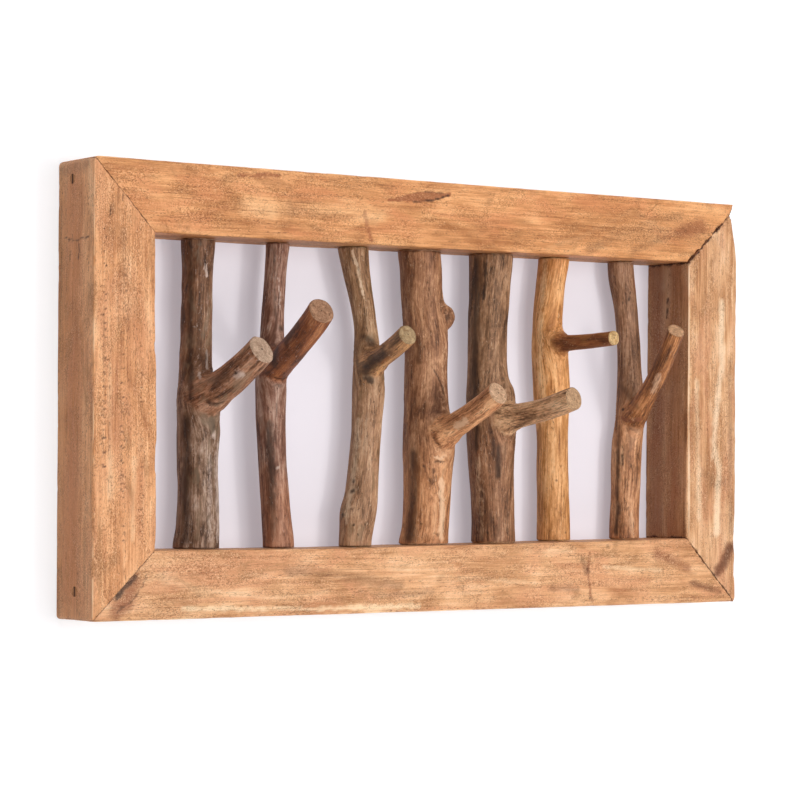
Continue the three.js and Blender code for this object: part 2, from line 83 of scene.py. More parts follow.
BRANCHES = [
    dict(behind=7, trunk=[
        (0, 3.2, 18.9), (14, 4.4, 17.8), (40, 4.6, 16.8), (66, 4.2, 16.5), (92, 4.9, 17.2),
        (112, 3.7, 17.2), (140, 2.4, 13.6), (180, 2.7, 12.9), (212, 3.5, 12.8), (240, 4.1, 13.7),
    ], shoots=[shoot(113, 14.5, 69.5, 39.5, 16, 13.4, 12.2, 3)]),
    dict(behind=3, trunk=[
        (0, 5.8, 12.9), (24, 3.5, 12), (48, 1.2, 11.9), (84, -1.3, 11.9), (118, -2.3, 12.8),
        (136, -2, 12.9), (160, -1.2, 10.4), (188, 0, 9.5), (208, 1.2, 9.3), (228, 3, 9.5),
        (240, 4, 10.2),
    ], shoots=[shoot(138.5, -9, 83, 44.5, 12.6, 11.6, 10.9, 3)]),
    dict(behind=4, trunk=[
        (0, 9.2, 13.4), (14, 11, 14.2), (28, 12.8, 15.2), (42, 15.4, 13.8), (62, 17.6, 13),
        (94, 20.6, 12.6), (127, 22, 13.8), (150, 21.2, 12.2), (174, 19.4, 10), (200, 14.8, 10.5),
        (224, 9.2, 11.7), (242, 6.6, 12.6),
    ], shoots=[shoot(145.5, -3, 59, 23, 11.5, 9.2, 8.7, 2)]),
    dict(behind=3.5, trunk=[
        (0, 5, 20.8), (12, 6.8, 19.9), (36, 8.4, 19.8), (60, 9.4, 20.8), (82, 10.6, 21.9),
        (112, 8.3, 18.6), (144, 7.4, 17.9), (168, 7.2, 18.5), (190, 4.4, 17.8), (208, 2.7, 17.3),
        (226, 1.8, 17.4), (242, 0, 18),
    ], shoots=[shoot(85, 10, 80, 38, 14, 10.6, 10, 3),
               shoot(186, 25, 11, 1, 13.5, 11.5, 10, 0, blunt=True)]),
    dict(behind=4.5, trunk=[
        (0, 7.2, 18.8), (14, 6.7, 18.4), (36, 5.8, 18.6), (60, 5, 19.2), (90, 5.1, 21.3),
        (120, 4, 20.6), (138, 1.6, 17.9), (158, 1, 17.1), (190, 1.6, 17.2), (216, 2.5, 17.6),
        (242, 4.2, 18.8),
    ], shoots=[shoot(103, 15.5, 91, 16, 13.5, 10.6, 10, 3)]),
    dict(behind=8, trunk=[
        (0, 3, 14.4), (24, 2.8, 14.2), (60, 1.9, 14), (96, 1.5, 14.1), (132, 0.6, 15.9),
        (160, -1.4, 15.8), (180, -3.8, 13.5), (198, -3.1, 13.2), (218, -0.8, 13), (242, 2.8, 13.6),
    ], shoots=[shoot(169, 6, 79.5, 2, 11.5, 7.4, 6.7, 1)]),
    dict(behind=9, trunk=[
        (0, 10.2, 13.4), (24, 11, 13.1), (48, 12.2, 13.3), (84, 14, 13.7), (104, 17, 13.4),
        (126, 17.6, 12.6), (152, 16.5, 10.6), (180, 14.8, 10.3), (200, 12.6, 10.8),
        (226, 7.6, 11.9), (242, 6.2, 11.8),
    ], shoots=[shoot(102, -16, 79, 78, 11, 9.4, 7.8, 5)]),
]


# Noise that is the same on each run

def lattice(cell, seed):
    mixed = (cell[..., 0] * 374761393 + cell[..., 1] * 668265263
             + cell[..., 2] * 1442695041 + seed * 1013904223) & 0xFFFFFFFF
    mixed = ((mixed ^ (mixed >> 15)) * 2246822519) & 0xFFFFFFFF
    mixed = ((mixed ^ (mixed >> 13)) * 3266489917) & 0xFFFFFFFF
    return ((mixed ^ (mixed >> 16)) & 0xFFFFFF) / 8388607.5 - 1


def noise(points, seed):
    """Smooth noise from -1 to 1 with cells of size 1."""
    base = np.floor(points).astype(np.int64)
    part = points - base
    ease = part ** 3 * (part * (part * 6 - 15) + 10)
    total = 0
    for corner in np.ndindex(2, 2, 2):
        weight = np.prod(np.where(corner, ease, 1 - ease), axis=-1)
        total = total + weight * lattice(base + np.array(corner), seed)
    return total


def layered(points, seed, layers=3):
    total, weight = 0, 1
    for layer in range(layers):
        total = total + weight * noise(points * 2.03 ** layer, seed + 31 * layer)
        weight *= 0.5
    return total


def step(value, low, high):
    t = np.clip((value - low) / (high - low), 0, 1)
    return t * t * (3 - 2 * t)


def along(stations, place, measure):
    """A measure at a place on the smooth curve through stations of (place, *measures)."""
    table = np.array(stations, float)
    x, y = table[:, 0], table[:, measure]
    slope = np.zeros(len(x))
    slope[1:-1] = (y[2:] - y[:-2]) / (x[2:] - x[:-2])
    place = np.clip(place, x[0], x[-1])
    k = np.clip(np.searchsorted(x, place, side="right") - 1, 0, len(x) - 2)
    span = x[k + 1] - x[k]
    t = (place - x[k]) / span
    return ((2 * t ** 3 - 3 * t ** 2 + 1) * y[k] + (t ** 3 - 2 * t ** 2 + t) * span * slope[k]
            + (3 * t ** 2 - 2 * t ** 3) * y[k + 1] + (t ** 3 - t ** 2) * span * slope[k + 1])


# Meshes

def mesh_of(name, points, faces):
    """A mesh from points in millimetres."""
    mesh = bpy.data.meshes.new(name)
    mesh.from_pydata((np.asarray(points) * MM).tolist(), [], faces)
    mesh.update()
    return mesh


def points_of(mesh):
    flat = np.empty(len(mesh.vertices) * 3, np.float32)
    mesh.vertices.foreach_get("co", flat)
    return flat.reshape(-1, 3).astype(float) / MM


def edges_of(mesh):
    flat = np.empty(len(mesh.edges) * 2, np.int32)
    mesh.edges.foreach_get("vertices", flat)
    return flat.reshape(-1, 2)


def set_points(mesh, points):
    mesh.vertices.foreach_set("co", (points * MM).astype(np.float32).ravel())
    mesh.update()


def normals_of(mesh):
    flat = np.empty(len(mesh.vertices) * 3, np.float32)
    mesh.vertex_normals.foreach_get("vector", flat)
    return flat.reshape(-1, 3).astype(float)


def give(mesh, name, values):
    """Stores a number or a vector for each vertex, for the materials to read."""
    kind = "FLOAT_VECTOR" if values.ndim == 2 else "FLOAT"
    attribute = mesh.attributes.new(name, kind, "POINT")
    attribute.data.foreach_set("vector" if values.ndim == 2 else "value",
                               values.astype(np.float32).ravel())


def smoothed(points, edges, weight, rounds):
    """Moves each point towards the middle of its neighbours."""
    degree = np.bincount(edges.ravel(), minlength=len(points))
    for _ in range(rounds):
        middle = np.empty_like(points)
        for axis in range(3):
            near = np.concatenate([points[edges[:, 1], axis], points[edges[:, 0], axis]])
            at = np.concatenate([edges[:, 0], edges[:, 1]])
            middle[:, axis] = np.bincount(at, near, len(points)) / degree
        points = points + (middle - points) * weight[:, None]
    return points


def tube(centres, across, upward, radii, sides=40):
    """Points and faces of a closed round bar along a line of centres."""
    turn = np.linspace(0, 2 * np.pi, sides, endpoint=False)
    ring = np.cos(turn)[:, None] * across + np.sin(turn)[:, None] * upward
    points = (centres[:, None] + radii[:, None, None] * ring).reshape(-1, 3)
    points = np.vstack([points, centres[0], centres[-1]])
    first, last = len(points) - 2, len(points) - 1
    faces = []
    for k in range(sides):
        after = (k + 1) % sides
        faces.append((first, after, k))
        end = (len(centres) - 1) * sides
        faces.append((last, end + k, end + after))
        for row in range(len(centres) - 1):
            a, b = row * sides, (row + 1) * sides
            faces.append((a + k, a + after, b + after, b + k))
    return points, faces


def prism(across, upward, depth_back, depth_front):
    """A block through the XZ outline given by across and upward, from one depth to another."""
    count = len(across)
    points = [(x, y, z) for y in (depth_back, depth_front) for x, z in zip(across, upward)]
    faces = [tuple(range(count)), tuple(range(2 * count - 1, count - 1, -1))]
    faces += [(k, k + count, (k + 1) % count + count, (k + 1) % count) for k in range(count)]
    return points, faces


def piece(name, mesh, materials, slot, *nodes):
    """A finished piece that stands for CAD nodes and hangs on the rack."""
    thing = bpy.data.objects.new(name, mesh)
    bpy.context.scene.collection.objects.link(thing)
    for material in materials:
        mesh.materials.append(material)
    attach(thing, "root")
    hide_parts(*nodes)
    return thing


def worked(mesh, add):
    """The mesh after the modifiers that add() gives it."""
    thing = bpy.data.objects.new("draft", mesh)
    bpy.context.scene.collection.objects.link(thing)
    add(thing)
    seen = thing.evaluated_get(bpy.context.evaluated_depsgraph_get())
    result = bpy.data.meshes.new_from_object(seen)
    bpy.data.objects.remove(thing)
    return result


def remeshed(mesh, voxel):
    def add(thing):
        modifier = thing.modifiers.new("voxels", "REMESH")
        modifier.mode = "VOXEL"
        modifier.voxel_size = voxel * MM
    return worked(mesh, add)


def hollowed(mesh, blocks):
    """The mesh with the blocks cut out of it."""
    cutters = []
    for points, faces in blocks:
        cutter = mesh_of("cutter", points, faces)
        bm = bmesh.new()
        bm.from_mesh(cutter)
        bmesh.ops.recalc_face_normals(bm, faces=bm.faces[:])
        bm.to_mesh(cutter)
        bm.free()
        cutters.append(bpy.data.objects.new("cutter", cutter))
        bpy.context.scene.collection.objects.link(cutters[-1])

    def add(thing):
        for cutter in cutters:
            modifier = thing.modifiers.new("cut", "BOOLEAN")
            modifier.solver = "EXACT"
            modifier.object = cutter
    result = worked(mesh, add)
    for cutter in cutters:
        bpy.data.objects.remove(cutter)
    return result


def sawn(bm, point, outward, inset, depth, material):
    """Cuts off what lies beyond a plane, and closes the cut with a face and a worn rim."""
    outward = Vector(outward).normalized()
    at = Vector(point) * MM - outward * depth * MM
    everything = bm.verts[:] + bm.edges[:] + bm.faces[:]
    bmesh.ops.bisect_plane(bm, geom=everything, dist=1e-6, plane_co=at, plane_no=outward,
                           clear_outer=True)
    rim = [e for e in bm.edges if e.is_boundary]
    made = bmesh.ops.holes_fill(bm, edges=rim, sides=0)["faces"]
    for face in made:
        face.material_index = material
    if inset:
        bmesh.ops.inset_individual(bm, faces=made, thickness=inset * MM, depth=0)
        for face in made:
            for vert in face.verts:
                vert.co += outward * depth * MM
    for face in made:
        for edge in face.edges:
            edge.smooth = False
    centre = bmesh.ops.poke(bm, faces=made)["faces"]
    for face in centre:
        face.material_index = material
        face.smooth = False


# Branches

class Limb:
    """A trunk or a shoot: a line with a radius, and the place of any point beside it."""

    def __init__(self, start, outward, sideways, upward, length, sway, sag, profile, blunt=False):
        self.start, self.outward = start, outward
        self.sideways, self.upward = sideways, upward
        self.length, self.sway, self.sag, self.profile = length, sway, sag, profile
        self.blunt = blunt

    def offset(self, s):
        """How far the line stands to the side and up from the chord."""
        t = np.clip(s / self.length, 0, 1.05)
        side = along(self.sway, s, 1) if self.sway else np.zeros_like(s)
        return side, -4 * self.sag * t * (1 - t)

    def radius(self, s):
        return along(self.profile, s, 1)

    def centres(self, s):
        side, up = self.offset(s)
        return (self.start + s[:, None] * self.outward + side[:, None] * self.sideways
                + up[:, None] * self.upward)

    def place(self, points):
        """Each point's place across, up and along the limb, and its distance from the surface."""
        rel = points - self.start
        s = rel @ self.outward
        side, up = self.offset(s)
        u, v = rel @ self.sideways - side, rel @ self.upward - up
        beyond = np.maximum(0, np.maximum(-s, s - self.length - 6))
        return u, v, s, np.hypot(u, v) - self.radius(s) + beyond


def limbs_of(branch):
    trunk = branch["trunk"]
    x, y, z = np.eye(3)
    sway = [(height, side) for height, side, _ in trunk]
    girth = [(height, radius - SKIN) for height, _, radius in trunk]
    limbs = [Limb(np.zeros(3), z, x, y, TRUNK_LENGTH, sway, 0, girth)]
    for one in branch["shoots"]:
        length = np.linalg.norm(one["chord"])
        outward = one["chord"] / length
        sideways = np.cross(z, outward)
        sideways /= np.linalg.norm(sideways)
        thick = along(trunk, one["height"], 2)
        profile = [(0, one["flare"] - SKIN), (thick, one["flare"] - SKIN),
                   (thick + one["root"], one["root"] - SKIN), (length, one["tip"] - SKIN)]
        if one["blunt"]:
            profile = [(0, one["flare"]), (length - 12, one["root"]), (length, one["tip"])]
        start = np.array([along(trunk, one["height"], 1), 0, one["height"]])
        limbs.append(Limb(start, outward, sideways, np.cross(outward, sideways), length, None,
                          one["sag"], profile, one["blunt"]))
    return limbs


def mark_weight(points, mark):
    """How much of a mark lies at each point: full on its path, fading over its width."""
    path = np.array(mark["path"], float)
    near = np.full(len(points), np.inf)
    for a, b in zip(path, np.vstack([path[1:], path[-1:]])):
        run = max((b - a) @ (b - a), 1e-9)
        t = np.clip((points - a) @ (b - a) / run, 0, 1)
        near = np.minimum(near, np.linalg.norm(points - a - t[:, None] * (b - a), axis=1))
    return np.exp(-(near / mark["width"]) ** 2)


def give_tones(mesh, points, marks):
    """Stores the strongest mark of each tone at each point, with ragged outlines."""
    shake = np.stack([layered(points / [2.2, 2.2, 4], 900 + k, 2) for k in range(3)], 1)
    for tone in ("dark", "pale", "warm"):
        total = np.zeros(len(points))
        for mark in marks:
            if tone in mark:
                frayed = points + mark.get("fray", 1) * shake
                total = np.maximum(total, mark[tone] * mark_weight(frayed, mark))
        give(mesh, tone, total)


def grain_of(limbs, k, points, look):
    """Each point's place in the grain of limb k: across, up and along."""
    u, v, s, out = limbs[k].place(points)
    if k == 0:
        for other in limbs[1:]:
            facing = math.atan2(other.outward[1], other.outward[0])
            angle = np.angle(np.exp(1j * (np.arctan2(v, u) - facing)))
            reach = np.hypot(u, v)
            across, climb = reach * angle, (s - other.start[2] - 6) / 1.4
            root = other.radius(np.zeros(1))[0] + 1
            squeeze = 1 - 0.65 * root ** 2 / np.maximum(across ** 2 + climb ** 2, root ** 2)
            turned = across * squeeze / np.maximum(reach, 1) + facing
            u, v = reach * np.cos(turned), reach * np.sin(turned)
    turn = look["twist"] * s
    return np.stack([u * np.cos(turn) + v * np.sin(turn),
                     v * np.cos(turn) - u * np.sin(turn), s], 1), out


def relief(grain, look, seed):
    """The height of the surface over the plain limb."""
    lumps = layered(grain / [17, 17, 42], seed, 3) * look["lumps"]
    fine = noise(grain / [look["furrow"], look["furrow"], look["run"]], seed + 5)
    finer = noise(grain / [1.3, 1.3, 17], seed + 9)
    return lumps + look["cut"] * (1 - 2 * np.abs(fine) ** 0.7 + 0.5 * finer)


def branch_mesh(index, look):
    branch = BRANCHES[index]
    seed = 100 * (index + 1)
    limbs = limbs_of(branch)
    points, faces = [], []
    for k, limb in enumerate(limbs):
        start, end = (-5, TRUNK_LENGTH + 5) if k == 0 else (0, limb.length + 5)
        if limb.blunt:
            end = limb.length
        s = np.linspace(start, end, int((end - start) / 3) + 2)
        radii = limb.radius(s)
        if k:
            radii = radii * np.where(s < 3, 0.6, 1)
        if limb.blunt:
            radii = radii * np.sqrt(np.clip(1 - np.clip((s - end + 11) / 11, 0, 1) ** 2, 0.01, 1))
        some, rings = tube(limb.centres(s), limb.sideways, limb.upward, radii)
        shift = sum(len(p) for p in points)
        points.append(some)
        faces += [tuple(i + shift for i in face) for face in rings]
    mesh = remeshed(mesh_of("draft", np.vstack(points), faces), VOXEL)

    points, edges = points_of(mesh), edges_of(mesh)
    outs = np.stack([limb.place(points)[3] for limb in limbs])
    crotch = np.exp(-((np.abs(outs[0]) + np.abs(outs[1:]).min(0)) / 8) ** 2)
    points = smoothed(points, edges, 0.1 + 0.45 * crotch, 40)
    set_points(mesh, points)

    heights = []
    for k, limb in enumerate(limbs):
        grain, out = grain_of(limbs, k, points, look)
        heights.append(relief(grain, look, seed + 11 * k))
    outs = np.stack([limb.place(points)[3] for limb in limbs])
    near = np.exp(-(outs - outs.min(0)) / 1.5)
    height = (np.stack(heights) * near).sum(0) / near.sum(0)
    height = height + 0.35 * crotch * (1 - 2 * np.abs(noise(points / [7, 7, 2.2], seed + 50)))
    for mark in look["marks"]:
        height = height + mark.get("lift", 0) * mark_weight(points, mark)
    points = points + normals_of(mesh) * height[:, None]
    set_points(mesh, points)

    foot_x = LEFT + FACE + END_MARGIN + index * PITCH + look["nudge"]
    sill, head = along(SILL, foot_x, 1), along(HEAD, foot_x, 1)
    bm = bmesh.new()
    bm.from_mesh(mesh)
    for face in bm.faces:
        face.smooth = True
    sawn(bm, (0, 0, sill), (0, 0, -1), 1.3, look["foot"], 1)
    sawn(bm, (0, 0, TRUNK_LENGTH + head), (0, 0, 1), 1.0, 0.7, 1)
    for limb in limbs[1:]:
        if not limb.blunt:
            tip = limb.centres(np.array([limb.length]))[0]
            sawn(bm, tip, limb.outward, 1.2, 0.9, 1)
    bm.to_mesh(mesh)
    bm.free()

    points = points_of(mesh)
    own = [grain_of(limbs, k, points, look) for k in range(len(limbs))]
    outs = np.stack([out for _, out in own])
    shoot_index = 1 + np.argmin(outs[1:], 0)
    pick = np.arange(len(points))
    grains = np.stack([grain for grain, _ in own])
    edge = outs[0] - outs[shoot_index, pick] + 1.2 * noise(points / 3, seed + 60)
    give(mesh, "grain", grains[0])
    give(mesh, "shoot_grain", grains[shoot_index, pick] + [0, 0, 500])
    sharp = np.array([0.0 if limbs[k].blunt else 1.0 for k in shoot_index])
    give(mesh, "shoot", step(edge - look["join"], -3, 3) * sharp)
    hearts = np.stack([np.hypot(g[:, 0], g[:, 1]) / limb.radius(g[:, 2])
                       for g, limb in zip(grains, limbs)])
    give(mesh, "heart", hearts[np.argmin(outs, 0), pick])
    give(mesh, "low", 1 - step(points[:, 2] + 9 * layered(points / [9, 9, 40], seed + 70, 2),
                               look["turn"] - 18, look["turn"] + 18))
    # Painted shade: the bark darkens within a millimetre or so of each sawn end, where the branch meets the
    # rails.
    ends = np.minimum(points[:, 2] - sill, TRUNK_LENGTH + head - points[:, 2])
    give(mesh, "ends", np.exp(-np.maximum(ends, 0) / 1.3))
    give_tones(mesh, points, look["marks"])
    foot = np.array([foot_x, -DEPTH / 2 + branch["behind"], OPENING_BOTTOM + SEAT])
    set_points(mesh, points + foot)
    return mesh


# Boards

def outline(depth_half, face_half):
    """Points round a rectangle, closer together near its corners."""
    near = np.array([0, 0.5, 1.1, 1.9, 3, 4.6, 7])

    def side(half):
        inner = np.linspace(-half + 9, half - 9, 21)
        return np.concatenate([-half + near, inner, (half - near)[::-1]])[:-1]
    a, b = side(face_half), side(depth_half)
    return np.concatenate([
        np.stack([a, np.full(len(a), -depth_half)], 1), np.stack([np.full(len(b), face_half), b], 1),
        np.stack([-a, np.full(len(a), depth_half)], 1), np.stack([np.full(len(b), -face_half), -b], 1),
    ])


def board_mesh(look):
    """A board along X, or along Z when upright, sawn at its mitres."""
    upright, middle, face, seed = look["upright"], look["middle"], look["face"], look["seed"]
    start, end = (BOTTOM, TOP) if upright else (LEFT, RIGHT)
    half = np.array([face / 2, DEPTH / 2])
    shape = outline(half[1], half[0])
    stations = np.linspace(start - 4, end + 4, int((end - start) / 1.5))
    rows, count = len(stations), len(shape)
    s = np.repeat(stations, count)
    ab = np.tile(shape, (rows, 1))
    signs = np.tile(np.sign(shape), (rows, 1))
    at_corner = np.stack([signs[:, 0] * 40, signs[:, 1] * 40, s / 22], 1)
    radius = 1.3 + 0.8 * layered(at_corner, seed, 3)
    radius = radius + 1.6 * step(noise(at_corner * [1, 1, 1.7], seed + 3), 0.4, 0.9)
    radius = np.where(signs[:, 1] > 0, 0.4, np.clip(radius, 0.45, 4.2))
    waney = look["waney"] * (signs[:, 0] > 0)
    radius = radius + waney * (2.2 + 0.8 * noise(at_corner / [1, 1, 4], seed + 8))
    core = np.clip(ab, -(half - radius[:, None]), half - radius[:, None])
    over = ab - core
    reach = np.maximum(np.hypot(over[:, 0], over[:, 1]), 1e-6)
    ab = core + over * np.minimum(1, radius / reach)[:, None]

    where = np.stack([ab[:, 0], ab[:, 1], s], 1)
    wave = layered(where / [26, 26, 34], seed + 20, 3) * look["wave"]
    ragged = np.minimum(layered(where / [3, 3, 7], seed + 30, 2) + 0.2, 0) * np.exp(-(radius / 1.5))
    height = np.clip(wave + 0.4 * ragged - 0.08, -1.2, -0.01)
    for mark in look["marks"]:
        height = height + mark.get("lift", 0) * mark_weight(where, mark)
    ab = ab + over / reach[:, None] * height[:, None]
    if look["waney"]:
        swell = along(WANEY_EDGE, TOP - s, 1) + 0.2 * noise(np.stack([s / 45, 0 * s, 0 * s], 1), seed + 50)
        ab[:, 0] += np.where(ab[:, 0] > 0, (swell - 0.4) * ab[:, 0] / half[0], 0)
    side, edge = look["inner"]
    drift = along(edge, s, 1)
    ab[:, 0] += np.where(ab[:, 0] * side > 0, drift * np.abs(ab[:, 0]) / half[0], 0)
    if upright:
        points = np.stack([middle + ab[:, 0], -DEPTH / 2 + ab[:, 1], s], 1)
    else:
        points = np.stack([s, -DEPTH / 2 + ab[:, 1], middle + ab[:, 0]], 1)

    faces = [tuple(range(count)), tuple((rows - 1) * count + k for k in range(count))]
    for row in range(rows - 1):
        a, b = row * count, (row + 1) * count
        faces += [(a + k, a + (k + 1) % count, b + (k + 1) % count, b + k) for k in range(count)]
    mesh = mesh_of(look["name"], points, faces)
    bm = bmesh.new()
    bm.from_mesh(mesh)
    bmesh.ops.recalc_face_normals(bm, faces=bm.faces[:])
    for each in bm.faces:
        each.smooth = True
    for point, direction, _ in look["cuts"]:
        sawn(bm, (point[0], 0, point[1]), (direction[0], 0, direction[1]), 0, 0, 1)
    bm.to_mesh(mesh)
    bm.free()
    if look["hollows"]:
        mesh = hollowed(mesh, look["hollows"])
    dress_board(mesh, look)
    return mesh


def half_plane(start, end, keep, darkening):
    """A cut along the line from start to end, set back into the side that is kept."""
    line = np.array(end, float) - start
    normal = np.array([-line[1], line[0]]) / np.linalg.norm(line)
    if normal @ (np.array(keep, float) - start) > 0:
        normal = -normal
    return np.array(start, float) - normal * MITRE_GAP / 2, normal, darkening


def rounded(points, corner, radius):
    """Wears off an outer corner of the frame, seen from the front."""
    sign = np.sign(np.array(corner) - [0, (TOP + BOTTOM) / 2])
    over = (points[:, [0, 2]] - (np.array(corner) - sign * radius)) * sign
    inside = (over > 0).all(1)
    scale = over.max(1) / np.maximum(np.hypot(over[:, 0], over[:, 1]), 1e-6)
    worn = np.array(corner) - sign * radius + over * scale[:, None] * sign
    points[inside, 0], points[inside, 2] = worn[inside, 0], worn[inside, 1]


def dress_board(mesh, look):
    """Wears the corners and stores each point's place in the grain and by joints and edges."""
    points = points_of(mesh)
    upright, seed = look["upright"], look["seed"]
    flat = points[:, [0, 2]]
    joint = np.zeros(len(points))
    for at, normal, darkening in look["cuts"]:
        away = np.abs((at - flat) @ normal)
        spread = darkening * np.clip(0.9 + 1.9 * layered(points / 3.6, seed + 90, 2), 0.1, 2.6)
        joint = np.maximum(joint, np.exp(-away / (0.2 + spread)) * np.minimum(1, 0.5 + spread / 2))
        crumb = np.exp(-away / 1.2) * darkening * np.clip(0.3 + 1.5 * noise(points / 2.7, seed + 80), 0, 1.3)
        points[:, 1] += crumb * (points[:, 1] < -50) * 1.4
        points[:, 0] -= crumb * normal[0] * 0.35
        points[:, 2] -= crumb * normal[1] * 0.35
    rounded(points, (LEFT, TOP), 4.5)
    rounded(points, (LEFT, BOTTOM), 3.5)
    rounded(points, (RIGHT, BOTTOM), 3.5)
    points = np.clip(points, [LEFT, -DEPTH - 0.2, BOTTOM], [RIGHT + 5.1, 0, TOP])
    set_points(mesh, points)
    length, across = (points[:, 2], points[:, 0]) if upright else (points[:, 0], points[:, 2])
    grain = np.stack([across - look["middle"], points[:, 1] + DEPTH / 2, length], 1)
    give(mesh, "grain", grain)
    give(mesh, "joint", joint)
    # Paler along the arrises, in full on the keen side: rubbed wear and, partly, painted highlight.
    edge = np.abs(np.abs(grain[:, :2]) - [look["face"] / 2, DEPTH / 2]).sum(1)
    give(mesh, "rubbed_edge_and_highlight", np.exp(-(edge / 1.7) ** 2) * np.where(grain[:, 0] * look["keen"] > 0, 1, look["dull"]))
    give_tones(mesh, grain, look["marks"])


# Materials

class Paint:
    """Builds a node material."""

    def __init__(self, name):
        self.material = bpy.data.materials.new(name)
        self.material.use_nodes = True
        self.tree = self.material.node_tree
        self.tree.nodes.clear()
        out = self.tree.nodes.new("ShaderNodeOutputMaterial")
        self.shader = self.tree.nodes.new("ShaderNodeBsdfPrincipled")
        self.join(self.shader.outputs[0], out.inputs[0])

    def join(self, a, b):
        self.tree.links.new(a, b)

    def set(self, socket, value):
        if isinstance(value, bpy.types.NodeSocket):
            self.join(value, socket)
        else:
            socket.default_value = value

    def attribute(self, name, output="Fac"):
        node = self.tree.nodes.new("ShaderNodeAttribute")
        node.attribute_name = name
        return node.outputs[output]

    def math(self, operation, a, b=0.0):
        node = self.tree.nodes.new("ShaderNodeMath")
        node.operation = operation
        self.set(node.inputs[0], a)
        self.set(node.inputs[1], b)
        return node.outputs[0]

    def times(self, a, b):
        return self.math("MULTIPLY", a, b)

    def sum(self, *terms):
        """Adds up pairs of (value, weight)."""
        total = self.times(*terms[0])
        for value, weight in terms[1:]:
            total = self.math("ADD", total, self.times(value, weight))
        return total

    def between(self, factor, a, b):
        node = self.tree.nodes.new("ShaderNodeMix")
        self.set(node.inputs[0], factor)
        self.set(node.inputs[2], a)
        self.set(node.inputs[3], b)
        return node.outputs[0]

    def noise(self, vector, across, run, detail=2.0, rough=0.5, distortion=0.0, shift=0.0):
        """Noise in cells of the given sizes across and along the grain."""
        scaled = self.tree.nodes.new("ShaderNodeVectorMath")
        scaled.operation = "MULTIPLY_ADD"
        self.set(scaled.inputs[0], vector)
        scaled.inputs[1].default_value = (1 / across, 1 / across, 1 / run)
        scaled.inputs[2].default_value = (shift, shift, shift)
        node = self.tree.nodes.new("ShaderNodeTexNoise")
        self.join(scaled.outputs[0], node.inputs["Vector"])
        node.inputs["Scale"].default_value = 1.0
        node.inputs["Detail"].default_value = detail
        node.inputs["Roughness"].default_value = rough
        node.inputs["Distortion"].default_value = distortion
        return node.outputs["Fac"]

    def ramp(self, value, *stops):
        """Colours at places from 0 to 1."""
        node = self.tree.nodes.new("ShaderNodeValToRGB")
        self.set(node.inputs[0], value)
        elements = node.color_ramp.elements
        while len(elements) < len(stops):
            elements.new(0.5)
        for element, (place, colour) in zip(elements, stops):
            element.position = place
            element.color = (*colour, 1)
        return node.outputs[0]

    def levels(self, value, low, high):
        """Stretches the range from low to high over 0 to 1."""
        node = self.tree.nodes.new("ShaderNodeMapRange")
        node.interpolation_type = "SMOOTHSTEP"
        self.set(node.inputs[0], value)
        node.inputs[1].default_value = low
        node.inputs[2].default_value = high
        return node.outputs[0]

    def mix(self, factor, a, b):
        node = self.tree.nodes.new("ShaderNodeMix")
        node.data_type = "RGBA"
        self.set(node.inputs[0], factor)
        self.set(node.inputs[6], (*a, 1) if isinstance(a, tuple) else a)
        self.set(node.inputs[7], (*b, 1) if isinstance(b, tuple) else b)
        return node.outputs[2]

    def finish(self, colour, roughness, height, bump, specular=0.3, metallic=0.0):
        node = self.tree.nodes.new("ShaderNodeBump")
        node.inputs["Strength"].default_value = 0.9
        node.inputs["Distance"].default_value = bump * MM
        self.join(height, node.inputs["Height"])
        self.join(node.outputs[0], self.shader.inputs["Normal"])
        self.set(self.shader.inputs["Base Color"], colour)
        self.set(self.shader.inputs["Roughness"], roughness)
        self.shader.inputs["Specular IOR Level"].default_value = specular
        self.shader.inputs["Metallic"].default_value = metallic
        return self.material


def srgb(red, green, blue):
    """A colour given as it looks, from 0 to 255, in the renderer's linear terms."""
    return tuple((c / 255 / 12.92) if c <= 10 else ((c / 255 + 0.055) / 1.055) ** 2.4
                 for c in (red, green, blue))


def palette(*colours):
    places = (0.06, 0.4, 0.68, 1.0)
    return [(place, srgb(*colour)) for place, colour in zip(places, colours)]


def tinted(stops, *tint):
    return [(place, tuple(c * t for c, t in zip(colour, tint))) for place, colour in stops]


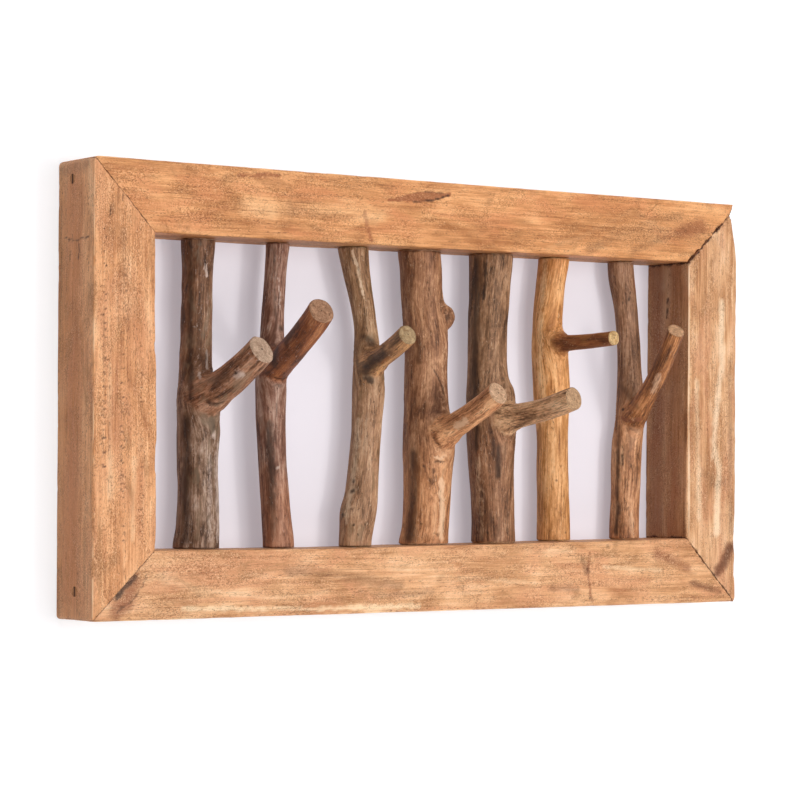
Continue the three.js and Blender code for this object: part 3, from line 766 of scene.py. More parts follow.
def branch_material(name, look):
    paint = Paint(name)
    shift = look["shift"]
    side = paint.attribute("shoot")
    parts = []
    for grain in (paint.attribute("grain", "Vector"), paint.attribute("shoot_grain", "Vector")):
        parts.append((paint.noise(grain, 7.5, 36, 5, 0.55, 0.5, shift),
                      paint.noise(grain, 1.1, 26, 4, 0.62, 0.15, shift + 3),
                      paint.noise(grain, 1.9, 4.4, 4, 0.68, 0.4, shift + 7),
                      paint.noise(grain, 2.5, 46, 3, 0.55, 0.25, shift + 11),
                      paint.noise(grain, 1.2, 3.4, 3, 0.7, 0.5, shift + 15),
                      paint.noise(grain, 8, 24, 3, 0.6, 0.6, shift + 19)))
    broad, streak, mottle, line, flake, busy = (paint.between(side, a, b) for a, b in zip(*parts))
    tone = paint.sum((broad, 0.46), (streak, 0.54 - look["mottled"]), (mottle, look["mottled"]))
    spread = paint.levels(tone, 0.5 - look["soft"], 0.5 + look["soft"])
    colour = paint.mix(paint.attribute("low"), paint.ramp(spread, *look["upper"]),
                       paint.ramp(spread, *look["lower"]))
    colour = paint.mix(side, colour, paint.ramp(spread, *look["hook"]))
    patched = paint.levels(paint.sum((busy, 0.8), (mottle, 0.2)), 0.48, 0.38)
    colour = paint.mix(paint.times(patched, look["patchy"]), colour, look["patch"])
    # The warm and pale tones carry the bark's own marks and also painted light and a painted highlight on
    # some trunk sides.
    for tint, target in (("warm", look["warm"]), ("pale", look["bare"])):
        place = paint.sum((paint.attribute(tint), 1.0), (mottle, 0.9), (streak, 0.5))
        colour = paint.mix(paint.times(paint.levels(place, 0.95, 1.5), 0.85), colour, target)
    lively = paint.levels(busy, 0.44, 0.6)
    thin = paint.levels(paint.math("ABSOLUTE", paint.math("SUBTRACT", line, 0.5)), look["crack"], 0.002)
    cracked = paint.times(thin, lively)
    chips = paint.times(paint.levels(flake, 0.58, 0.66), lively)
    pits = paint.times(paint.levels(flake, 0.41, 0.33), lively)
    colour = paint.mix(paint.times(chips, look["flaky"]), colour, look["bare"])
    colour = paint.mix(paint.times(pits, 0.7), colour, look["deep"])
    colour = paint.mix(paint.times(cracked, 0.75), colour, look["deep"])
    # The dark tone carries the bark's own marks and also painted shade down the trunks' left sides and at
    # their tops.
    dark = paint.sum((paint.attribute("dark"), 1.0), (mottle, 0.7), (streak, 0.4))
    colour = paint.mix(paint.times(paint.levels(dark, 0.65, 1.5), 0.85), colour, look["black"])
    # Painted shade: the bark darkens towards the ends, where the branch meets the rails.
    ends = paint.sum((paint.attribute("ends"), 1.0), (flake, 0.8))
    colour = paint.mix(paint.levels(ends, 0.7, 1.25), colour, look["black"])
    roughness = paint.sum((mottle, 0.3), (side, look["gloss"]), (1.0, look["rough"]))
    height = paint.sum((tone, 0.8), (cracked, -0.5), (chips, 0.3), (pits, -0.4))
    return paint.finish(colour, roughness, height, look["bump"], 0.3)


def cut_material(name, look):
    """End grain where a shoot or a trunk was sawn through."""
    paint = Paint(name)
    grain = paint.attribute("shoot_grain", "Vector")
    heart = paint.attribute("heart")
    wobble = paint.noise(grain, 4, 60, 3, 0.6, 0.5, 2)
    place = paint.sum((heart, 0.8), (wobble, 0.35))
    rings = paint.levels(paint.math("SINE", paint.times(place, 46.0)), -1.0, 1.0)
    grit = paint.noise(grain, 0.7, 60, 4, 0.7, 0.2, 5)
    blotch = paint.noise(grain, 3.2, 60, 3, 0.6, 0.8, 9)
    split = paint.noise(grain, 4.2, 60, 3, 0.65, 0.9, 13)
    colour = paint.mix(paint.times(rings, 0.3), look["cut_light"], look["cut_mid"])
    colour = paint.mix(paint.levels(blotch, 0.5, 0.68), colour, look["cut_mid"])
    colour = paint.mix(paint.times(paint.levels(blotch, 0.48, 0.36), 0.5), colour, look["cut_pale"])
    colour = paint.mix(paint.times(paint.levels(grit, 0.56, 0.72), 0.75), colour, look["cut_deep"])
    cracked = paint.levels(paint.math("ABSOLUTE", paint.math("SUBTRACT", split, 0.5)), 0.03, 0.005)
    colour = paint.mix(paint.times(cracked, 0.5), colour, look["cut_deep"])
    core = paint.levels(place, 0.27, 0.16)
    colour = paint.mix(paint.times(core, 0.75), colour, look["deep"])
    bark = paint.levels(paint.sum((heart, 1.0), (wobble, 0.3)), 1.1, 1.2)
    colour = paint.mix(paint.times(bark, 0.45), colour, look["deep"])
    return paint.finish(colour, 0.8, paint.sum((grit, 1.0), (rings, 0.3), (cracked, -0.5)), 0.6, 0.2)


def board_material(name, look):
    paint = Paint(name)
    grain = paint.attribute("grain", "Vector")
    shift = look["shift"]
    cloud = paint.noise(grain, 24, 64, 3, 0.5, 0.8, shift)
    hue = paint.noise(grain, 22, 70, 3, 0.55, 1.0, shift + 5)
    stain = paint.noise(grain, 17, 42, 5, 0.58, 1.2, shift + 31)
    figure = paint.noise(grain, 2.8, 60, 4, 0.6, 0.9, shift + 9)
    streak = paint.noise(grain, 0.8, 40, 3, 0.6, 0.35, shift + 13)
    vein = paint.noise(grain, 3.2, 110, 3, 0.55, 0.5, shift + 43)
    pores = paint.noise(grain, 0.9, 2.8, 2, 0.6, 0.5, shift + 17)
    column = paint.noise(grain, 3.4, 190, 2, 0.5, 0.2, shift + 37)
    speck = paint.noise(grain, 0.7, 1.2, 3, 0.75, 0.3, shift + 23)
    many = paint.noise(grain, 16, 48, 4, 0.6, 1.0, shift + 29)
    tone = paint.sum((cloud, 0.42), (figure, 0.32), (streak, 0.18), (speck, 0.08))
    colour = paint.ramp(paint.levels(tone, 0.3, 0.7), *look["wood"])
    colour = paint.mix(paint.times(paint.levels(hue, 0.44, 0.66), 0.5), colour, look["rosy"])
    colour = paint.mix(paint.times(paint.levels(stain, 0.5, 0.72), 0.6), colour, look["olive"])
    # The warm tone carries the boards' own reddish marks and also painted shade on the stiles' sides. The
    # pale tone also carries a painted highlight on the bottom rail.
    for tint, target, most in (("warm", look["red"], 0.8), ("pale", look["bare"], 0.8)):
        place = paint.sum((paint.attribute(tint), 1.0), (cloud, 0.6), (streak, 0.3), (speck, 0.3))
        colour = paint.mix(paint.times(paint.levels(place, 0.8, 1.5), most), colour, target)
    thin = paint.levels(paint.math("ABSOLUTE", paint.math("SUBTRACT", vein, 0.5)), 0.014, 0.001)
    colour = paint.mix(paint.times(thin, 0.32), colour, look["pore"])
    zone = paint.sum((paint.levels(many, 0.42, 0.6), 0.65), (1.0, 0.35))
    dashes = paint.times(paint.levels(pores, 0.56, 0.64), paint.levels(column, 0.46, 0.6))
    dots = paint.math("MAXIMUM", paint.times(paint.levels(speck, 0.53, 0.62), zone), dashes)
    colour = paint.mix(paint.times(dots, look["dotted"]), colour, look["pore"])
    shine = paint.times(paint.times(paint.levels(speck, 0.46, 0.34), zone), 0.5)
    colour = paint.mix(shine, colour, look["bare"])
    # Pale arrises: rubbed wear, partly painted highlight.
    rubbed_edge_and_highlight = paint.sum((paint.attribute("rubbed_edge_and_highlight"), 1.0), (cloud, 0.6), (speck, 0.5))
    rubbed_edge_and_highlight = paint.times(paint.levels(rubbed_edge_and_highlight, 1.15, 1.5), look["worn"])
    colour = paint.mix(rubbed_edge_and_highlight, colour, look["bare"])
    # The dark tone holds the boards' own dark marks and also the painted shade under the top rail.
    darkening = paint.sum((paint.attribute("dark"), 1.0), (cloud, 0.35), (speck, 0.35))
    colour = paint.mix(paint.times(paint.levels(darkening, 0.5, 1.2), 0.9), colour, look["black"])
    joint = paint.sum((paint.attribute("joint"), 1.0), (speck, 0.7))
    colour = paint.mix(paint.levels(joint, 0.62, 1.25), colour, look["black"])
    roughness = paint.sum((streak, 0.2), (1.0, 0.42))
    height = paint.sum((streak, 0.35), (figure, 0.4), (dots, -0.4))
    return paint.finish(colour, roughness, height, 0.4, 0.3)


def end_material(name, look):
    """The boards' sawn ends, hidden in the mitres but for the sharp tip."""
    paint = Paint(name)
    grain = paint.attribute("grain", "Vector")
    rings = paint.noise(grain, 2.2, 40, 3, 0.6, 0.6, 1)
    grit = paint.noise(grain, 0.6, 3, 3, 0.7, 0.2, 4)
    colour = paint.mix(paint.levels(rings, 0.4, 0.65), look["rosy"], look["pore"])
    colour = paint.mix(paint.levels(grit, 0.5, 0.7), colour, look["black"])
    return paint.finish(colour, 0.85, grit, 0.4, 0.2)


def plug_material(name, light, deep, slot):
    """Filler in the colour of the board, with a dark upright slot in it."""
    paint = Paint(name)
    coordinates = paint.tree.nodes.new("ShaderNodeTexCoord").outputs
    grit = paint.noise(coordinates["Object"], 0.0006, 0.0006, 4, 0.7, 0.3)
    blotch = paint.noise(coordinates["Object"], 0.003, 0.003, 3, 0.6, 0.6)
    parts = paint.tree.nodes.new("ShaderNodeSeparateXYZ")
    paint.join(coordinates["Generated"], parts.inputs[0])
    away = paint.math("ABSOLUTE", paint.math("SUBTRACT", parts.outputs["Y"], 0.45))
    worn = paint.sum((away, 1.0), (blotch, 0.3), (grit, 0.15))
    colour = paint.mix(paint.levels(blotch, 0.35, 0.65), light, deep)
    colour = paint.mix(paint.times(paint.levels(grit, 0.52, 0.7), 0.6), colour, srgb(74, 44, 28))
    colour = paint.mix(paint.times(paint.levels(worn, 0.45, 0.3), slot), colour, srgb(62, 34, 22))
    return paint.finish(colour, 0.8, grit, 0.3, 0.25)


def steel_material(name, tint):
    paint = Paint(name)
    place = paint.tree.nodes.new("ShaderNodeTexCoord").outputs["Object"]
    brush = paint.noise(place, 0.0004, 0.006, 4, 0.7, 0.2)
    cloud = paint.noise(place, 0.004, 0.004, 3, 0.6, 0.6)
    colour = paint.mix(cloud, tint, tuple(c * 0.72 for c in tint))
    roughness = paint.sum((brush, 0.25), (1.0, 0.25))
    return paint.finish(colour, roughness, brush, 0.05, 0.5, 1.0)


def mark(width, *path, **tones):
    """A mark along a path: how dark, pale or warm it is, and how far it lifts the surface."""
    return dict(width=width, path=path, **tones)


def front(width, *path, **tones):
    """A mark on the front of a board, by place across and along it."""
    return mark(width, *((across, -27, place) for across, place in path), **tones)


def flank(width, *path, **tones):
    """A mark on the left side of a stile, by depth from its middle and place along it."""
    return mark(width, *((-26.5, depth, place) for depth, place in path), **tones)


# Marks on the branches: right of the foot's centre, back from it, and over it
MARKS = [
    [mark(3.2, (-8, -7.4, 237), (-7.5, -7.1, 192), (-8, -8.1, 145), (-10, -11.9, 116), dark=0.8),
     # The dark band down the lower left side is bark deepened into painted shade. The pale bands down the
     # right side are bark lightened into painted light.
     mark(6, (-11, -7, 98), (-11.5, -6, 52), (-12.5, -8, 6), dark=0.75),
     mark(6, (13, -12, 78), (13.5, -12, 8), pale=0.75),
     mark(4, (11, -9, 236), (11, -8, 150), pale=0.3),
     mark(1.5, (3.5, -11.9, 220), (4.6, -11.7, 211), pale=1, lift=0.5),
     mark(1.3, (5.6, -11.6, 205.5), dark=1, lift=-0.8),
     mark(4, (5.7, -11.6, 196), (6, -11.2, 169), pale=0.35),
     mark(1.4, (4.8, -11.9, 153), (4.2, -12.9, 139), pale=1, lift=0.4),
     mark(1.8, (-3.2, -13.1, 134), (-2, -17, 127), pale=0.9), mark(4, (-15, -0.3, 120), dark=0.3, lift=2.2),
     mark(5.5, (5.7, -56.2, 133.3), pale=0.8, lift=1), mark(2, (4.2, -54, 134.5), dark=1.1, lift=-1.4),
     mark(1.1, (8, -59, 135.5), dark=1, lift=-0.6), mark(1, (7.5, -55, 130.5), dark=0.9),
     mark(2.2, (-2.9, -24.3, 112.4), (3.8, -28.1, 110), (9.6, -31.9, 112.4), dark=0.8, lift=-1.2),
     mark(2, (5.4, -21.4, 104.8), (0, -19, 107), warm=0.7, lift=1),
     mark(1.6, (12, -27, 106), (5, -24, 103), dark=0.7, lift=-0.8),
     mark(4, (8.4, -16.9, 87), pale=0.8),
     mark(3.5, (4.7, -16.9, 71.5), (4.8, -17, 36.6), (4.2, -18.3, 5.6), pale=0.5),
     mark(2.4, (-2.4, -15.3, 62), (-2.7, -16, 27), warm=0.35),
     mark(1.3, (13.7, -14.8, 13), (13.7, -14.8, 0), dark=1.2, lift=-1.2),
     mark(1.8, (-10.5, 0.6, 222), lift=1), mark(1.5, (-9.5, 3.5, 204), lift=0.9),
     mark(5, (-3, -34, 126), (-0.5, -46.7, 134), dark=0.65)],
    [mark(1.8, (-3.3, -6.4, 236), (-4, -7.7, 195), (-3, -8, 175), dark=0.6),
     mark(0.9, (-0.9, -8.7, 212), (0.8, -9.1, 188), pale=0.9), mark(3.2, (2, -8.9, 172.5), dark=0.9),
     mark(1.5, (-8, -14, 132.5), (1.5, -15.5, 132.7), dark=0.9, lift=-0.7),
     mark(1.8, (-6.5, -11.9, 127), (0, -13, 127), dark=0.6, lift=-0.5),
     mark(4.5, (-18.3, -44.6, 159), (-20, -62, 174), dark=0.75),
     mark(5.5, (-17, -28.8, 154), (-14.5, -23, 143), dark=0.8),
     # The dark band down the lower left side is bark deepened into painted shade.
     mark(4.5, (-9, -8, 96), (-7, -9.5, 50), (-6, -10.5, 8), dark=0.8),
     mark(4.5, (-17.4, -68, 163), (-15, -50.8, 152), warm=0.5),
     mark(2, (-20.4, -83.4, 181), dark=0.6, lift=-1.2),
     mark(1.5, (-7.9, -10, 90), (-7.6, -9.6, 79), dark=0.8), mark(2, (-2.9, -11.1, 61.6), pale=0.9, lift=0.4),
     mark(0.9, (-2.9, -11.3, 58), dark=1)],
    [mark(1.2, (-0.4, -9.6, 238), (4.4, -9.7, 222), (10.7, -9.5, 200), pale=1),
     mark(0.9, (-2.6, -9, 238), (2.2, -9.3, 222), (8.7, -9, 200), dark=1, lift=-0.6),
     mark(4.5, (13, -6.5, 168), (19, -10, 164), dark=0.7),
     mark(5.5, (11.8, -9.5, 139.5), (12.2, -20, 147), (11.5, -34.8, 154), dark=0.9),
     mark(2.8, (15.6, -27, 146.4), (16, -39, 150.8), warm=0.7),
     mark(3.3, (12.1, -9.2, 134.7), (16.5, -12, 132), dark=1, lift=-0.8),
     mark(1.5, (11.3, -8.5, 132), warm=1),
     mark(2.6, (13.7, -9.8, 108), (11.3, -10.6, 68), (6.3, -13.6, 24), dark=0.35),
     mark(5, (8, -4, 100), (5.5, -4, 62), (-2, -4, 20), pale=0.6),
     mark(2, (4.2, -5.3, 51.4), dark=1, lift=0.5),
     mark(2, (3.1, -5.5, 43.3), dark=1), mark(2.6, (-3.4, -0.9, 24), dark=1, lift=1.6),
     mark(1.2, (0.7, -9.1, 16), dark=1), mark(1.2, (4.3, -12.4, 8), dark=1)],
    # The dark line round the top is painted shade, where the branch meets the top rail.
    [mark(1.8, (-17, -5, 241), (-12, -12.4, 241), (1.5, -17.7, 240.5), (14, -13, 240), dark=1, lift=-0.7),
     mark(1.5, (-2.5, -16.3, 214.5), dark=0.9), mark(1.3, (12.1, -14.6, 208), (13, -14.4, 199), dark=0.9),
     mark(2.4, (17, -17, 186), dark=1, lift=-1.4), mark(2, (25.5, -13, 183), dark=1.1, lift=-1.2),
     mark(2, (23, -10, 176), dark=0.9, lift=-0.8),
     mark(2.5, (21, -16, 190), lift=1.2, pale=0.4),
     mark(2.8, (-7.8, -9.9, 168), (-7.5, -9.6, 149), dark=0.7, warm=0.6),
     mark(1.1, (2.6, -16.6, 143), (10.7, -16.8, 130), (14.3, -16.1, 122), dark=1, lift=-0.5),
     mark(1.4, (-0.4, -20.8, 87), (3.5, -22.4, 81), (7.3, -21.4, 75), dark=0.9, lift=-0.8),
     mark(1.5, (1.7, -19.4, 71.5), (6, -21, 69.5), (11.3, -21.6, 72), pale=1, lift=0.6),
     mark(1, (2, -19, 67.5), (10, -21, 67.5), dark=0.9),
     # The dark band down the lower left side is bark deepened into painted shade. The pale band up on the
     # right is bark lightened into painted light.
     mark(7, (-12, -6, 72), (-13, -6, 5), dark=0.85), mark(6, (13, -16, 160), (13, -16, 112), pale=0.4),
     mark(1.3, (-5, -14.7, 63.7), dark=1.2),
     mark(1.5, (1.2, -18.7, 61), (1.3, -18.6, 50), dark=0.7, warm=0.8),
     # Painted highlight: a pale strip down the front of the lower trunk.
     mark(4, (8.4, -20.1, 50.7), (10.2, -19.1, 27.7), (8.5, -20.1, 4.9), pale=0.8),
     mark(1.7, (-10, -6.5, 33.4), dark=1),
     mark(1.5, (-6.7, -13.1, 15.5), dark=1), mark(1.4, (4.4, -20.1, 7.3), dark=1),
     mark(3.5, (6.9, -42.2, 96), (8.6, -51.9, 100), pale=1)],
    # The three dark spots at the top are painted shade, where the branch meets the top rail.
    [mark(1.7, (-11, -12, 240.5), dark=1), mark(1.6, (1, -17, 240), dark=1),
     mark(1.6, (11, -15, 240.5), dark=1),
     mark(1.8, (-10.3, -11.5, 233), (-10.9, -11.2, 204), dark=0.9), mark(4, (-0.7, -17.1, 211), dark=0.4),
     mark(7, (13, -14, 126), lift=1.5),
     mark(3, (-14.8, -5.4, 97), (-14.1, -4.6, 78), dark=0.8), mark(1.3, (-7.5, -16.7, 92), dark=1.2),
     # The wide pale mark here lightens the shaded lower left side as painted light. The next line darkens the
     # upper left side as painted shade.
     mark(3.5, (-1.5, -17.6, 80), (-1, -17.2, 56), dark=0.75), mark(7, (-13, -5, 68), (-12, -5, 6), pale=0.5),
     mark(5, (-14, -4, 236), (-16, -4, 120), dark=0.75),
     mark(1.5, (-9.1, -9.4, 25.7), dark=1), mark(1.4, (-7.4, -11.3, 9), dark=1),
     mark(2, (3.2, -41.9, 100), (7.4, -62.9, 104), (10.2, -85.4, 109), dark=0.7)],
    [mark(5, (-11, -4, 240), (-16, -5, 163), (-12, -4, 103), pale=0.55),
     mark(2.2, (-7.8, -17.4, 173), (-7.5, -21.6, 167), (1.1, -17.2, 159), warm=0.4, lift=0.6),
     mark(2.5, (-1.4, -50.6, 162), (0, -66, 163), dark=0.7),
     mark(1.2, (-3.5, -12.3, 51.6), dark=1), mark(1.2, (-4.2, -11.8, 27.8), dark=1),
     mark(1.1, (0.1, -13.3, 24.4), dark=1), mark(1.3, (5, -14, 8.2), dark=1)],
    [mark(1.5, (13.6, -9.8, 226), (15.2, -9.3, 216), warm=1.3),
     mark(0.9, (3.3, -6.9, 222), (3.3, -6.9, 195), dark=0.9),
     mark(0.9, (7.7, -9.8, 224), (7.7, -9.8, 198), dark=0.9),
     mark(4.5, (6.3, -3.5, 132.4), (9.8, -10.1, 123.7), (4.9, -24, 116), dark=0.55),
     mark(1.4, (5.1, -4.9, 113.3), dark=1.2),
     mark(2.3, (4.7, -5.3, 106), (7.3, -15.6, 103.6), (11, -20.5, 105.3), warm=1.1, lift=0.5),
     # The dark band down the lower left side is bark deepened into painted shade.
     mark(3, (1, -3, 98), (-1, -4, 50), (-2, -4, 6), dark=0.85),
     mark(1.3, (2.4, -6.7, 81), (2.1, -7, 65), dark=1, lift=-0.5),
     mark(6, (7.5, -12.7, 19.6), (9.4, -13.1, 7.4), pale=0.5),
     mark(4, (5.7, -43.6, 128), (1.4, -56.2, 142), pale=0.7)],
]

# How each branch looks: palettes go from furrow to worn ridge
COMMON = dict(join=0.0, twist=0.0015, furrow=2.8, run=34, soft=0.17, patchy=0.45, crack=0.022,
              rough=0.45, gloss=0.0, bump=0.5, foot=0.4, flaky=0.5, mottled=0.24,
              black=srgb(44, 28, 19), warm=srgb(154, 98, 60), cut_deep=srgb(120, 82, 56))
LOOKS = [
    dict(COMMON, shift=1.3, nudge=1.6, lumps=0.85, cut=0.12, turn=122, deep=srgb(52, 34, 24), flaky=0.65,
         upper=palette((66, 42, 29), (110, 76, 54), (138, 102, 80), (182, 150, 126)),
         lower=palette((58, 38, 27), (112, 84, 66), (152, 127, 112), (190, 170, 160)),
         hook=palette((60, 40, 28), (122, 84, 62), (160, 119, 97), (192, 156, 136)),
         patch=srgb(136, 116, 94), bare=srgb(204, 180, 166), black=srgb(46, 26, 15),
         cut_light=srgb(184, 156, 134), cut_mid=srgb(160, 130, 108)),
    dict(COMMON, shift=5.1, nudge=1.4, lumps=0.5, cut=0.06, turn=60, deep=srgb(62, 36, 27), gloss=-0.08,
         upper=palette((76, 45, 34), (132, 93, 78), (164, 131, 117), (200, 172, 162)),
         lower=palette((88, 52, 36), (144, 98, 76), (170, 124, 101), (198, 156, 134)),
         hook=palette((58, 34, 22), (120, 71, 44), (148, 93, 60), (178, 126, 90)),
         patch=srgb(112, 72, 53), bare=srgb(206, 178, 163), warm=srgb(160, 96, 58), mottled=0.18,
         cut_light=srgb(164, 124, 97), cut_mid=srgb(142, 102, 77)),
    dict(COMMON, shift=9.7, nudge=0.9, lumps=0.5, cut=0.08, turn=130, deep=srgb(70, 48, 32), gloss=-0.1,
         upper=palette((84, 59, 39), (136, 101, 73), (164, 128, 98), (198, 168, 140)),
         lower=palette((100, 71, 51), (156, 118, 91), (178, 141, 114), (206, 173, 146)),
         hook=palette((66, 48, 36), (134, 98, 72), (175, 132, 96), (212, 170, 124)),
         patch=srgb(112, 92, 64), warm=srgb(168, 106, 62), bare=srgb(222, 192, 162), mottled=0.18,
         cut_light=srgb(172, 146, 111), cut_mid=srgb(146, 116, 82)),
    dict(COMMON, shift=14.2, nudge=1.5, lumps=0.8, cut=0.12, turn=72, deep=srgb(78, 47, 28), foot=1.1,
         upper=palette((84, 52, 34), (136, 94, 68), (168, 124, 94), (206, 163, 131)),
         lower=palette((104, 64, 40), (176, 123, 85), (202, 149, 110), (226, 180, 142)),
         hook=palette((116, 76, 50), (184, 131, 96), (212, 163, 124), (232, 191, 156)),
         patch=srgb(116, 74, 47), bare=srgb(232, 190, 153), black=srgb(62, 36, 21),
         cut_light=srgb(202, 165, 134), cut_mid=srgb(180, 140, 108)),
    dict(COMMON, shift=19.4, nudge=0.6, lumps=0.7, cut=0.18, turn=100, deep=srgb(60, 38, 25),
         foot=1.2, crack=0.034,
         upper=palette((66, 43, 28), (132, 97, 71), (164, 127, 99), (192, 158, 132)),
         lower=palette((72, 46, 31), (128, 88, 63), (158, 116, 88), (190, 151, 124)),
         hook=palette((84, 62, 46), (180, 141, 110), (216, 180, 147), (236, 206, 176)),
         patch=srgb(106, 76, 53), bare=srgb(212, 178, 146), warm=srgb(156, 110, 82),
         cut_light=srgb(190, 154, 120), cut_mid=srgb(166, 127, 94)),
    dict(COMMON, shift=24.8, nudge=0.8, join=4.0, lumps=0.5, cut=0.06, turn=100, deep=srgb(128, 79, 41),
         foot=0.9, crack=0.014,
         upper=palette((148, 94, 50), (202, 143, 90), (230, 175, 122), (248, 204, 155)),
         lower=palette((134, 86, 46), (192, 137, 86), (218, 165, 115), (242, 198, 152)),
         hook=palette((78, 44, 25), (118, 71, 42), (148, 94, 58), (198, 140, 90)),
         patch=srgb(176, 118, 64), bare=srgb(248, 208, 160), warm=srgb(156, 88, 46), mottled=0.16,
         black=srgb(88, 51, 27),
         cut_light=srgb(212, 178, 128), cut_mid=srgb(184, 142, 92)),
    dict(COMMON, shift=29.6, nudge=1.2, lumps=0.55, cut=0.1, turn=118, deep=srgb(70, 44, 31), foot=0.9,
         upper=palette((78, 53, 40), (130, 94, 71), (157, 120, 96), (188, 154, 131)),
         lower=palette((98, 62, 39), (170, 120, 86), (203, 153, 117), (227, 184, 151)),
         hook=palette((72, 43, 25), (134, 87, 55), (170, 117, 77), (206, 156, 116)),
         patch=srgb(118, 86, 66), bare=srgb(210, 168, 135), warm=srgb(142, 86, 58), mottled=0.2,
         cut_light=srgb(196, 154, 118), cut_mid=srgb(168, 125, 92)),
]

# Where the mitres' lines lie, from the opening's corners to the frame's
INNER = {"tl": (-271.2, -28.8), "tr": (271.8, -26.9), "bl": (-270, -270.4), "br": (269.2, -266.8)}
OUTER = {"tl": (LEFT, TOP), "tr": (RIGHT, TOP), "bl": (LEFT, BOTTOM), "br": (RIGHT, BOTTOM)}

# Points that tell which side of a mitre's line is kept
up, down, west, east = (0, TOP), (0, BOTTOM), (LEFT, -150), (RIGHT, -150)


# The hollows behind a hanger plate: width, lower and upper end, and depth
PLATE_RECESS = (16.6, -22.8, 22.8, 2.4)
KEYHOLE_POCKET = (13, -11.5, 9.3, 12.4)


def plate_hollows():
    """The recess and the pocket in the back of the top rail for each hanger plate."""
    blocks = []
    corner = 3.0
    turn = np.radians(np.arange(0, 360, 90)[:, None] + [0, 30, 60, 90])
    for centre in HANGER_PLACES:
        for width, low, high, deep in (PLATE_RECESS, KEYHOLE_POCKET):
            sides = np.array([1, -1, -1, 1]) * (width / 2 - corner)
            heights = np.array([high - corner, high - corner, low + corner, low + corner])
            across = (centre + sides[:, None] + corner * np.cos(turn)).ravel()
            upward = (heights[:, None] + corner * np.sin(turn)).ravel()
            blocks.append(prism(across, upward, 2.0, -deep))
    return blocks


def pore_column(across, high, low, dark):
    """Short dark dashes one over another on the front of an upright board."""
    dashes = []
    for place in np.arange(low, high, 5.4):
        shift = 1.1 * math.sin(place * 0.9) + 0.6 * math.sin(place * 2.3)
        dashes.append(front(1.0, (across + shift - 1.3, place), (across + shift + 1.2, place - 1.3),
                            dark=dark + 0.12 * math.sin(place * 1.7), fray=0.5))
    return dashes
